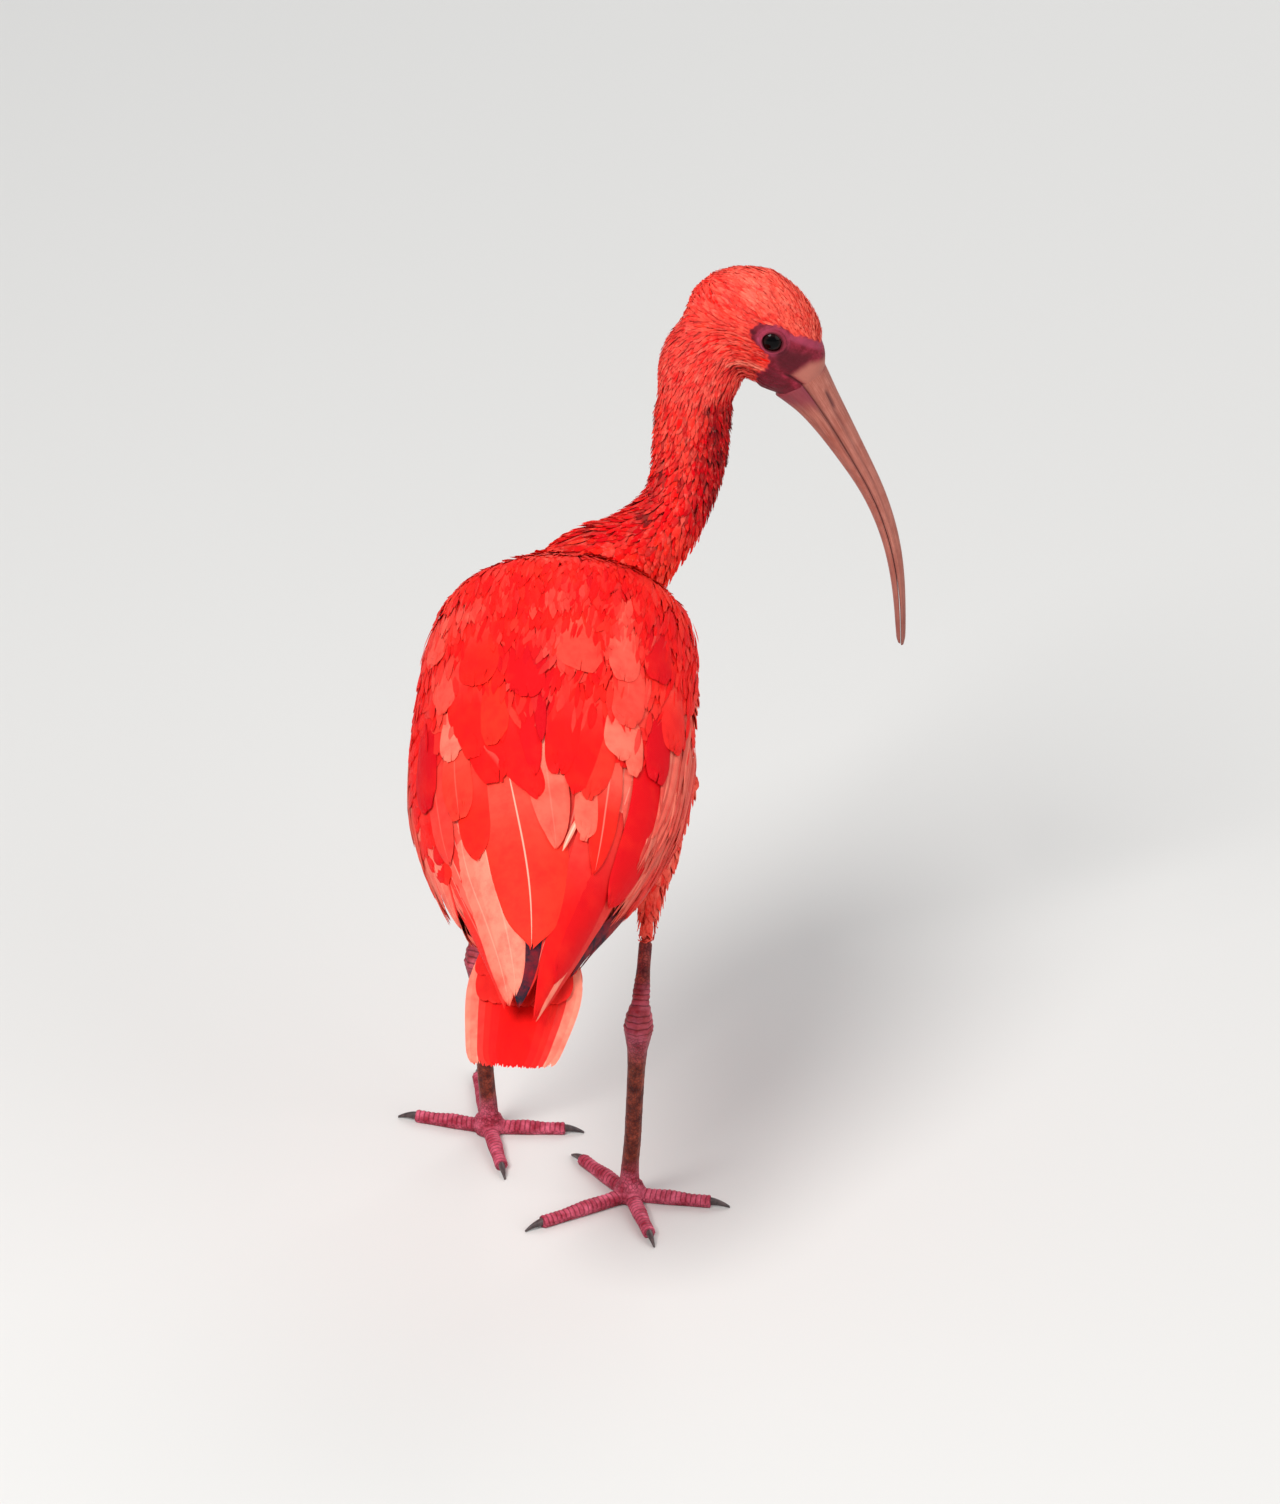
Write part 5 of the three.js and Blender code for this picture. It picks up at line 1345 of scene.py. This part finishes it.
def make_wisps():
    """Loose fine tips of the soft feathers over the shoulders and the back."""
    count = WISPS["tries"]
    start = rng.uniform(*WISPS["start"], count)
    angle = rng.normal(0, 1, count) * WISPS["spread"]
    keep = (np.abs(angle) < WISPS["far"]) & (rng.uniform(0, 1, count) < smooth_step(-10, 70, start) + 0.12)
    start, angle = start[keep], angle[keep]
    count = len(start)
    end = start - rng.uniform(*WISPS["long"], count)
    tip = np.stack([end, angle * 0.97 + rng.normal(0, 2.2, count)], -1)
    shift, pale = patches(end, tip[:, 1])
    high = rng.uniform(-0.5, 0.25, count) - 0.4 * smooth_step(30, 70, np.abs(angle))
    tone = 0.5 + shift + 0.25 * smooth_step(60, 90, start) + rng.normal(0, 0.09, count)
    half = rng.uniform(*WISPS["half"], count)
    lift = np.stack([high - mix(0.7, 5, smooth_step(78, 96, start)), high], -1)
    pale = np.clip(pale + rng.normal(0, 0.06, count), 0, 1)
    wisps = body_vanes(np.stack([start, angle], -1), tip, half, lift, TUFT, rows=3, columns=2, tone=tone,
                       pale=pale, base_pale=0.0, camber=0.1)
    make_coat("back_wisps", [wisps], VANE_MATERIAL)


def make_plumes(side):
    """Long loose plumes of the flank, streaked red and salmon, which hang over the wing's lower edge."""
    sign = SIDES[side]
    inner, outer, count = FLANK[side]
    share = rng.uniform(0, 1, count)
    start = rng.uniform(*PLUMES["start"], count)
    root = np.stack([start, sign * (mix(inner, outer, share) + rng.uniform(-4, 4, count))], -1)
    last = np.where(share < 0.45, mix(-56, -93, share / 0.45), mix(-93, -80, (share - 0.45) / 0.55))
    end = np.maximum(last, start - rng.uniform(*PLUMES["long"], count)) + rng.uniform(0, 5, count)
    tip = np.stack([end, sign * (mix(inner + 3, outer + 3, share) + rng.uniform(-3, 3, count))], -1)
    high = rng.uniform(-0.6, 0.8, count)
    # The upper plumes are painted paler as painted light
    lit = smooth_step(1, 0.2, share)
    half = rng.uniform(*PLUMES["half"], count)
    tone = rng.uniform(0.05, 0.55, count)
    pale = np.clip(rng.uniform(-0.05, 0.35, count) + 0.3 * lit, 0, 0.7)
    dark = rng.uniform(0, 0.16, count)
    plumes = body_vanes(root, tip, half, np.stack([high - 2.6, high - 0.9], -1), PLUME, rows=10, columns=4,
                        tone=tone, pale=pale, dark=dark, dark_from=-0.2, base_pale=0.05, camber=0.2,
                        ragged=0.1, bend=sign * rng.uniform(*PLUMES["bend"], count))
    make_coat(f"flank_plumes_{side}", [plumes], VANE_MATERIAL)


for side in SIDES:
    make_wing(side)
    make_back(side)
    make_plumes(side)
make_wisps()


# The tail: twelve flat feathers, the middle ones on top, pale ones at the edges


def in_tail(along, share, height):
    """Points in the tail by place along the body, share of the tail's half width and height."""
    middle = column(TAIL, 2)(along)
    return (
        np.array(BODY_CENTRE, float)
        + scale3(ALONG, along)
        + scale3(X, middle + share * column(TAIL, 1)(along))
        + scale3(DORSAL, TAIL_HEIGHT - TAIL_ARCH * share**2 + height)
    )


def tail_vanes(start, end, middle, half, height, tone, pale, rise, outline=SQUARE_TIP, shaft=0.0,
               ragged=0.02):
    """Flat feathers of the tail, one for each of middle. rise lifts their right edge."""
    count = len(middle)
    start, end, middle, half, height, tone, pale, rise, shaft = [
        each(v, count) for v in (start, end, middle, half, height, tone, pale, rise, shaft)
    ]
    rows, columns = 14, 8
    t = vane_rows(rows)[None, :, None]
    s = np.linspace(-1, 1, columns + 1)[None, None, :]
    fray = rng.uniform(-ragged, ragged, (count, 1, columns + 1)) * smooth_step(0.7, 1, t)
    along = mix(start, end, np.clip(t + fray, 0, 1.01)) + 0 * s
    share = middle * mix(1, 0.97, t) + s * half * column(outline, 1)(t)
    length = (start - end)[:, 0, 0]
    return {
        "points": in_tail(along, share, height + rise * s - 0.25 * s**2),
        "tone": tone,
        "pale": np.clip(pale + 0.12 * smooth_step(0.5, 0, t), 0, 1),
        "dark": np.zeros((1, 1, 1)),
        "shaft": shaft,
        "size": np.stack([length, half[:, 0, 0] * 20], -1),
        "root": in_tail(start[:, 0, 0], middle[:, 0, 0], 0 * length),
    }


def tail_coverts(rows, count, rise, tone, pale, ragged):
    """Rows of rounded coverts across the tail."""
    vanes = []
    for start, end, reach, lift in rows:
        middle = np.linspace(-reach, reach, count)
        vanes.append(tail_vanes(start, end + 8 * middle**2, middle, 0.24, lift, tone, pale,
                                rise * np.sign(middle), ROUND_TIP, ragged=ragged))
    return vanes


def make_tail():
    """The tail's feathers, left then right, and the coverts over and under their roots."""
    middle, half, reach, tone = (np.array([row[k] for row in TAIL_VANES]) for k in range(4))
    vanes = []
    for i, sign in enumerate((-1, 1)):
        height = 0.8 - 0.22 * np.arange(6) + 0.1 * i
        pale, shaft = (np.array([row[k][i] for row in TAIL_VANES]) for k in (4, 5))
        vanes.append(tail_vanes(-92, -164.5 + reach, sign * middle, half, height, tone, pale, sign * 0.25,
                                shaft=shaft))
    make_coat("tail_vanes", vanes, VANE_MATERIAL, ["tail_feathers"])
    over = tail_coverts(COVERTS_OVER, 8, 0.25, 0.5, 0.05, 0.05)
    under = tail_coverts(COVERTS_UNDER, 9, -0.3, 0.6, 0.35, 0.06)
    make_coat("tail_coverts_over", over, VANE_MATERIAL, ["tail_coverts_upper"])
    make_coat("tail_coverts_under", under, VANE_MATERIAL, ["tail_coverts_lower"])


make_tail()


# Small feathers over head, neck, body and thighs


def flow_field():
    """Places along the bird's axes with the way that feathers lie there, and their length and spacing."""
    places, ways, sizes = [], [], []

    def keep(place, way, size):
        places.append(place)
        ways.append(way)
        sizes.append(size)

    for ahead in np.linspace(-34, 26, 9):
        size = (3.8 + 0.035 * (26 - ahead), 1.05 + 0.006 * (26 - ahead))
        keep(in_head(ahead, -6 - 0.1 * ahead), -FORWARD, size)
    at, way = spline(NECK, np.linspace(0.1, 0.93, 14))
    for i in range(len(at)):
        t = min(1, i / 13 * 1.5)
        keep(at[i, :3], -way[i], (mix(10, 6, t), mix(2.5, 1.35, t)))
    for along in np.linspace(95, -95, 14):
        place = np.array(BODY_CENTRE) + ALONG * along + DORSAL * (plumage["rise"](along) - 8)
        keep(place, -ALONG - 0.15 * Z, (18, 5.2))
    for leg in LEGS.values():
        at, way = spline(leg["thigh"], np.linspace(0.25, 1, 5))
        for i in range(5):
            keep(at[i, :3], way[i], (mix(13, 5, i / 4), mix(3.8, 1.5, i / 4)))
    return np.array(places), unit(ways), np.array(sizes)


FLOW = flow_field()


def read_flow(points):
    """The way that feathers lie at points, and their length and spacing there."""
    places, ways, sizes = FLOW
    way = np.empty((len(points), 3))
    size = np.empty((len(points), 2))
    for part in np.array_split(np.arange(len(points)), max(1, len(points) // 20000)):
        far = np.linalg.norm(points[part][:, None] - places[None], axis=-1)
        weight = 1 / (far + 4) ** 5
        weight = weight / weight.sum(1, keepdims=True)
        way[part] = weight @ ways
        size[part] = weight @ sizes
    out = points - NECK_BASE
    reach = np.linalg.norm(out, axis=-1)
    fan = FAN["most"] * np.exp(-(((reach - FAN["reach"]) / FAN["spread"]) ** 2))
    fan = fan * (points[:, 2] < FAN["below"])
    return way + fan[:, None] * unit(out), size


def scatter_roots(allowed):
    """Random places on the skin where a rule allows them, that stand the coat's spacing apart."""
    a, b, c = (SKIN_POINTS[SKIN_TRIANGLES[:, k]] for k in range(3))
    middles = (a + b + c) / 3
    area = np.linalg.norm(np.cross(b - a, c - a), axis=-1) / 2
    spacing = read_flow(middles)[1][:, 1]
    weight = np.where(allowed(middles), area / spacing**2, 0)
    tries = int(weight.sum() * TRIES)
    pick = rng.choice(len(weight), tries, p=weight / weight.sum())
    r = np.sqrt(rng.uniform(0, 1, tries))[:, None]
    q = rng.uniform(0, 1, tries)[:, None]
    points = a[pick] * (1 - r) + b[pick] * r * (1 - q) + c[pick] * r * q
    reach = (spacing[pick] * LEAST_GAP) ** 2
    cell = float(spacing[pick].max())
    taken, kept = {}, []
    keys = np.floor(points / cell).astype(int).tolist()
    around = [(x, y, z) for x in (-1, 0, 1) for y in (-1, 0, 1) for z in (-1, 0, 1)]
    for i, (p, (kx, ky, kz)) in enumerate(zip(points.tolist(), keys)):
        near = (q for x, y, z in around for q in taken.get((kx + x, ky + y, kz + z), ()))
        if all((p[0] - q[0]) ** 2 + (p[1] - q[1]) ** 2 + (p[2] - q[2]) ** 2 >= reach[i] for q in near):
            taken.setdefault((kx, ky, kz), []).append(p)
            kept.append(i)
    return points[kept]


def lay_on_skin(roots, ways, lengths, rows):
    """Walks each feather's middle line over the skin: its points, normals and ways, row by row."""
    count = len(roots)
    share = vane_rows(rows)
    line, out, run = (np.empty((count, rows + 1, 3)) for _ in range(3))
    place, way = roots.copy(), ways.copy()
    for k in range(rows + 1):
        if k:
            place = place + way * (lengths * (share[k] - share[k - 1]))[:, None]
        normal = np.empty((count, 3))
        for i in range(count):
            place[i], normal[i], _, _ = SKIN_TREE.find_nearest(Vector(place[i]))
        way = unit(way - (way * normal).sum(-1, keepdims=True) * normal)
        line[:, k], out[:, k], run[:, k] = place, normal, way
    return line, out, run


def coat_vanes(roots, rows, columns, outline, depth, fullness, scatter_way=0.25, tone_scatter=0.18,
               pale_scatter=0.08, base_pale=0.2):
    """Small feathers that lie on the skin from their roots, as high as the coat is deep."""
    ways, sizes = read_flow(roots)
    count = len(roots)
    ways = unit(unit(ways) + rng.normal(0, scatter_way * 0.5, (count, 3)))
    lengths = sizes[:, 0] * rng.uniform(*SMALL["long"], count)
    half = sizes[:, 1] * fullness * rng.uniform(*SMALL["wide"], count)
    line, out, run = lay_on_skin(roots, ways, lengths, rows)
    side = np.cross(run, out)
    t = vane_rows(rows)[None, :, None]
    s = np.linspace(-1, 1, columns + 1)[None, None, :]
    wide = column(outline, 1)(t)
    deep = each(depth * rng.uniform(*SMALL["deep"], count), count)
    bow = 0.3 * each(np.minimum(half, 3), count) * s**2 * wide
    height = mix(SMALL["root"] * deep, deep, t**0.8) - bow
    fray = rng.uniform(-SMALL["ragged"], SMALL["ragged"] * 0.6, (count, 1, columns + 1))
    fray = fray * smooth_step(0.5, 1, t)
    points = (
        line[:, :, None]
        + side[:, :, None] * (s * wide * each(half, count))[..., None]
        + out[:, :, None] * height[..., None]
        + run[:, :, None] * (fray * each(lengths, count))[..., None]
    )
    tone, pale, dark = markings(roots)
    tone = np.clip(tone + rng.normal(0, tone_scatter, count), 0, 1)
    pale = pale + rng.normal(0, pale_scatter, count)
    dark = np.maximum(0, dark * rng.uniform(0.4, 1.5, count))
    return {
        "points": points,
        "tone": each(tone, count),
        "pale": np.clip(each(pale, count) + base_pale * smooth_step(0.6, 0, t), 0, 1),
        "dark": each(dark, count),
        "shaft": np.zeros((1, 1, 1)),
        "size": np.stack([lengths, half], -1),
        "root": roots,
    }


def zone_of(points):
    """Which part of the coat points of the skin are in, and the coat's depth there."""
    along, angle = body_place(points)
    ahead = head_place(points)[0]
    high = points[:, 2]
    head = (high > HEAD_FROM[0]) & (ahead > -44)
    neck = (high > 275) & ~head
    covered = (in_wing(along, angle) > 0.5) & (high < 269)
    bare = bare_face(points) * (high > 300)
    thigh = np.zeros(len(points), bool)
    for leg in LEGS.values():
        x, y = leg["thigh"][2][:2]
        thigh |= (np.hypot(points[:, 0] - x, points[:, 1] - y) < 20) & (high < 158)
    depth = np.where(high > 258, 3.8, COAT["body"] * 0.65)
    depth = np.where(thigh, COAT["thigh"], depth)
    depth = np.where(neck, COAT["neck"], depth)
    depth = np.where(head, mix(COAT["head"], 2, smooth_step(-20, -36, ahead)), depth)
    return {"head": head & (bare < 0.5), "neck": neck, "front": ~head & ~neck & ~covered & (along > 25),
            "rear": ~head & ~neck & ~covered & (along <= 25) & ~thigh, "thigh": thigh & ~covered}, depth


def make_small_feathers():
    """Each zone's coat: rows and columns of points, outline, fullness, slot and looks."""
    zones = [
        ("head_coat", "head", 3, 2, TUFT, 0.5, "head_plumage", {"base_pale": 0.0, "tone_scatter": 0.2}),
        ("neck_coat", "neck", 3, 2, TUFT, 0.7, "head_plumage", {"scatter_way": 0.35, "tone_scatter": 0.2}),
        ("breast_coat", "front", 5, 4, ROUND_TIP, 0.85, "body_plumage", {}),
        ("belly_coat", "rear", 5, 4, ROUND_TIP, 0.85, "body_plumage", {"pale_scatter": 0.15}),
        ("thigh_coat", "thigh", 4, 2, TUFT, 0.55, "body_plumage", {"scatter_way": 0.15}),
    ]
    for name, zone, rows, columns, outline, fullness, slot, looks in zones:
        roots = scatter_roots(lambda points: zone_of(points)[0][zone])
        vanes = coat_vanes(roots, rows, columns, outline, zone_of(roots)[1], fullness, **looks)
        make_coat(name, [vanes], DOWN_MATERIAL, thick=TUFT_THICK)


make_small_feathers()


# Eyes with lids


def make_eye_ball(side, centre, out):
    """A ball that knows for each point how far it faces out of the head."""
    rows, sides = 32, 40
    polar = np.linspace(0, math.pi, rows + 1)[1:-1]
    turn = np.arange(sides) * 2 * math.pi / sides
    p, q = np.meshgrid(polar, turn, indexing="ij")
    rings = (
        centre
        + scale3(out, np.cos(p) * EYE["radius"])
        + scale3(FORWARD, np.sin(p) * np.cos(q) * EYE["radius"])
        + scale3(CROWN, np.sin(p) * np.sin(q) * EYE["radius"])
    )
    mesh = closed_tube(f"eye_ball_{side}", rings)
    add_values(mesh, axis=unit(mesh_points(mesh) - centre) @ out)
    ball = new_object(f"eye_ball_{side}", mesh, EYE_MATERIAL)
    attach(ball, "root")
    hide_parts(f"eye_{side}")


def make_lids(side, centre, out):
    """The folded rims of both lids, as one ring round the eye, thicker above."""
    count, around = 72, 16
    rings = []
    for a in np.arange(count) * 2 * math.pi / count:
        way = FORWARD * math.cos(a) * LIDS["longer"] + CROWN * math.sin(a)
        upper = max(0, math.sin(a))
        thick = LIDS["thick"] + 0.25 * upper + 0.12 * math.sin(5 * a)
        ring = []
        for b in np.arange(around) * 2 * math.pi / around:
            fold = 1 + 0.1 * math.cos(3 * b)
            reach = LIDS["reach"] - 0.35 * upper + thick * fold * math.cos(b)
            high = LIDS["out"] + 0.8 * fold * math.sin(b) - 0.25 * math.cos(b)
            ring.append(centre + way * reach + out * high)
        rings.append(ring)
    lid = mesh_from(f"lids_{side}", np.array(rings), tube_faces(count + 1, around) % (count * around))
    turn_out(lid)
    points = mesh_points(lid)
    below = smooth_step(0.1, 0.7, -unit(points - centre) @ CROWN)
    inside = smooth_step(5.1, 4.3, eye_distance(points)[0])
    mauve = 0.15 + 0.75 * below * (1 - inside)
    add_values(lid, bare=1, mauve=mauve, maroon=inside, horn=0, tone=0.3, pale=0, dark=0)
    lids = new_object(f"lids_{side}", lid, SKIN_MATERIAL)
    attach(lids, "root")


for side, sign in SIDES.items():
    eye_centre = in_head(EYE["ahead"], EYE["above"], sign * EYE["aside"])
    make_eye_ball(side, eye_centre, ASIDE * sign)
    make_lids(side, eye_centre, ASIDE * sign)


# The bill's two halves


def bill_groove(side, lean, along, deep, length):
    """How deep the grooves cut into a half of the bill, the nostril among them, and how much painted shade
    darkens them.
    """
    if side < 0:
        channel = math.exp(-(((lean - 0.75) / 0.16) ** 2)) * 0.5
        return channel * deep * 0.07, channel * 0.25
    fade = 1 - 0.75 * max(0, along) / length
    channel = math.exp(-(((lean - 0.62) / 0.12) ** 2)) * fade * float(smooth_step(10, 22, along))
    nostril = math.exp(-(((lean - 0.72) / 0.09) ** 2)) * math.exp(-(((along - 13) / 4.6) ** 4))
    return channel * deep * 0.1 + nostril * 1.0, channel * 0.55 + nostril * 1.2


def make_bill(half, side, length):
    """One half of the bill: arcs of points from edge to edge along its middle line, closed by turn_out."""
    wide_at, deep_at = column(BILL_ROWS, 1), column(BILL_ROWS, 2 if side > 0 else 3)
    rows, arc = 170, 36
    rings, groove, root, uv = [], [], [], []
    for i in range(rows + 1):
        d = -BILL_INSIDE + (length + BILL_INSIDE) * (i / rows) ** 0.95
        centre, _, above = on_bill(d)
        sunk = 1 - 0.06 * max(0, -d)
        wide, deep = float(wide_at(d)), float(deep_at(d))
        dusk = 0.3 * float(smooth_step(90, 136, d))
        for j in range(arc + 1):
            a = math.pi * j / arc
            lean = min(a, math.pi - a)
            cut, shade = bill_groove(side, lean, d, deep, length)
            # mouth darkens the edges where the two halves meet, as painted shade along the mouth
            mouth = math.exp(-((lean / 0.1) ** 2))
            x = math.cos(a) * (wide * sunk - cut)
            y = BILL_GAP + math.sin(a) * (deep * sunk - cut)
            rings.append(centre + ASIDE * x + above * side * y)
            # Painted shade of grooves, nostril and mouth, and the darker tip
            groove.append(min(1, shade + 0.75 * mouth + dusk))
            if side > 0:
                low = smooth_step(3, -2, d) * smooth_step(0.6, 1.2, lean)
            else:
                low = smooth_step(17, 6, d + 3 * lean)
            root.append(float(low) * 0.8)
            uv.append((d / BILL["length"], a / math.pi))
    mesh = mesh_from(f"bill_{half}_horn", np.array(rings), tube_faces(rows + 1, arc + 1))
    add_values(mesh, groove=groove, root=root)
    index = np.empty(len(mesh.loops), np.int32)
    mesh.loops.foreach_get("vertex_index", index)
    add_uv(mesh, "Horn", np.array(uv)[index])
    turn_out(mesh)
    piece = new_object(f"bill_{half}_horn", mesh, BILL_MATERIAL)
    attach(piece, "root")
    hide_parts(f"bill_{half}")


make_bill("upper", 1, BILL["length"])
make_bill("lower", -1, BILL["length"] - 1)


# Legs and feet: one skin each over shank, hock, tarsus and toes, and the claws


def limb_mesh(name):
    """The solid limb of this name, its skin's depth larger all round."""
    work = bmesh.new()
    work.from_mesh(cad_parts[name].data)
    bmesh.ops.remove_doubles(work, verts=work.verts[:], dist=1e-6)
    bmesh.ops.recalc_face_normals(work, faces=work.faces[:])
    work.normal_update()
    for vertex in work.verts:
        vertex.co += vertex.normal * (LEG_SKIN / 1000)
    mesh = bpy.data.meshes.new("limb")
    work.to_mesh(mesh)
    work.free()
    return mesh


def make_leg(side):
    """One skin over a leg's solid limbs, ringed on toes and hock, where it swells."""
    limbs = ("shank", "tarsus", "foot", "toe")
    names = [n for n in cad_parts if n.endswith(side) and n.startswith(limbs)]
    mesh = remeshed(join_shapes("limb", [limb_mesh(name) for name in names]), **LEG_VOXELS)
    points, normals = mesh_points(mesh), mesh_normals(mesh)
    foot, hock = np.array(LEGS[side]["foot"]), np.array(LEGS[side]["hock"])
    reach = np.hypot(points[:, 0] - foot[0], points[:, 1] - foot[1])
    on_toe = smooth_step(9.5, 6.5, points[:, 2]) * smooth_step(5, 8, reach)
    from_hock = points[:, 2] - hock[2]
    on_hock = smooth_step(-7, -1, from_hock) * smooth_step(18, 10, from_hock)
    off_hock = np.hypot(points[:, 0] - hock[0], points[:, 1] - hock[1])
    ring = np.where(on_toe > 0.5, reach, points[:, 2] + 0.25 * off_hock)
    ringed = np.maximum(on_toe * smooth_step(-0.2, 0.4, normals[:, 2]), on_hock)
    wave = np.cos(2 * math.pi * ring / RING)
    swell = HOCK_SWELL * smooth_step(20, 9, from_hock) * smooth_step(1, 7, from_hock)
    points = points + normals * (SCUTE_HEIGHT * ringed * wave + swell)[:, None]
    points[:, 2] = np.maximum(points[:, 2], 0)
    move_points(mesh, points)
    low = smooth_step(26, 10, points[:, 2])
    knee = smooth_step(-24, -8, from_hock) * smooth_step(20, 10, from_hock)
    rosy = np.maximum.reduce([on_toe, low, 0.6 * knee, 0.15 * smooth_step(10, 20, from_hock)])
    add_values(mesh, ring=ring, ringed=ringed, rosy=rosy)
    skin = new_object(f"leg_skin_{side}", mesh, LEG_MATERIAL)
    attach(skin, "root")
    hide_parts(*names)


def make_claws(side):
    """A curved, tapered claw at the end of each toe."""
    x, y = LEGS[side]["foot"]
    for toe, (degrees, length) in TOES[side].items():
        way = np.array([math.sin(math.radians(degrees)), math.cos(math.radians(degrees)), 0])
        stations = []
        for t in (0, 0.2, 0.4, 0.6, 0.8, 1):
            half = mix(CLAW["half"], CLAW["tip"], t**1.4)
            z = mix(TOE_END["half"] * TOE_END["lift"] + 0.4, CLAW["tip"] + 0.1, t**2)
            at = np.array([x, y, z]) + way * (length - 0.6 + (CLAW["length"] + 0.6) * t)
            stations.append((*at, half * 0.8, half))
        rings = claw_rings(stations, way)
        claw = new_object(f"claw_horn_{toe}_{side}", closed_tube("claw", rings), CLAW_MATERIAL)
        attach(claw, "root")
        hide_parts(f"claw_{toe}_{side}")


def claw_rings(stations, way):
    """Rings round a claw through stations of x, y, z, half width and half depth."""
    aside = np.cross(way, Z)
    turn = np.arange(16) * 2 * math.pi / 16
    index = np.linspace(0, 1, len(stations))
    at = [column(list(zip(index, [s[k] for s in stations])), 1)(np.linspace(0, 1, 13)) for k in range(5)]
    centre = np.stack(at[:3], -1)[:, None]
    across = at[3][:, None, None] * aside * np.cos(turn)[:, None]
    return centre + across + at[4][:, None, None] * Z * np.sin(turn)[:, None]


for side in SIDES:
    make_leg(side)
    make_claws(side)
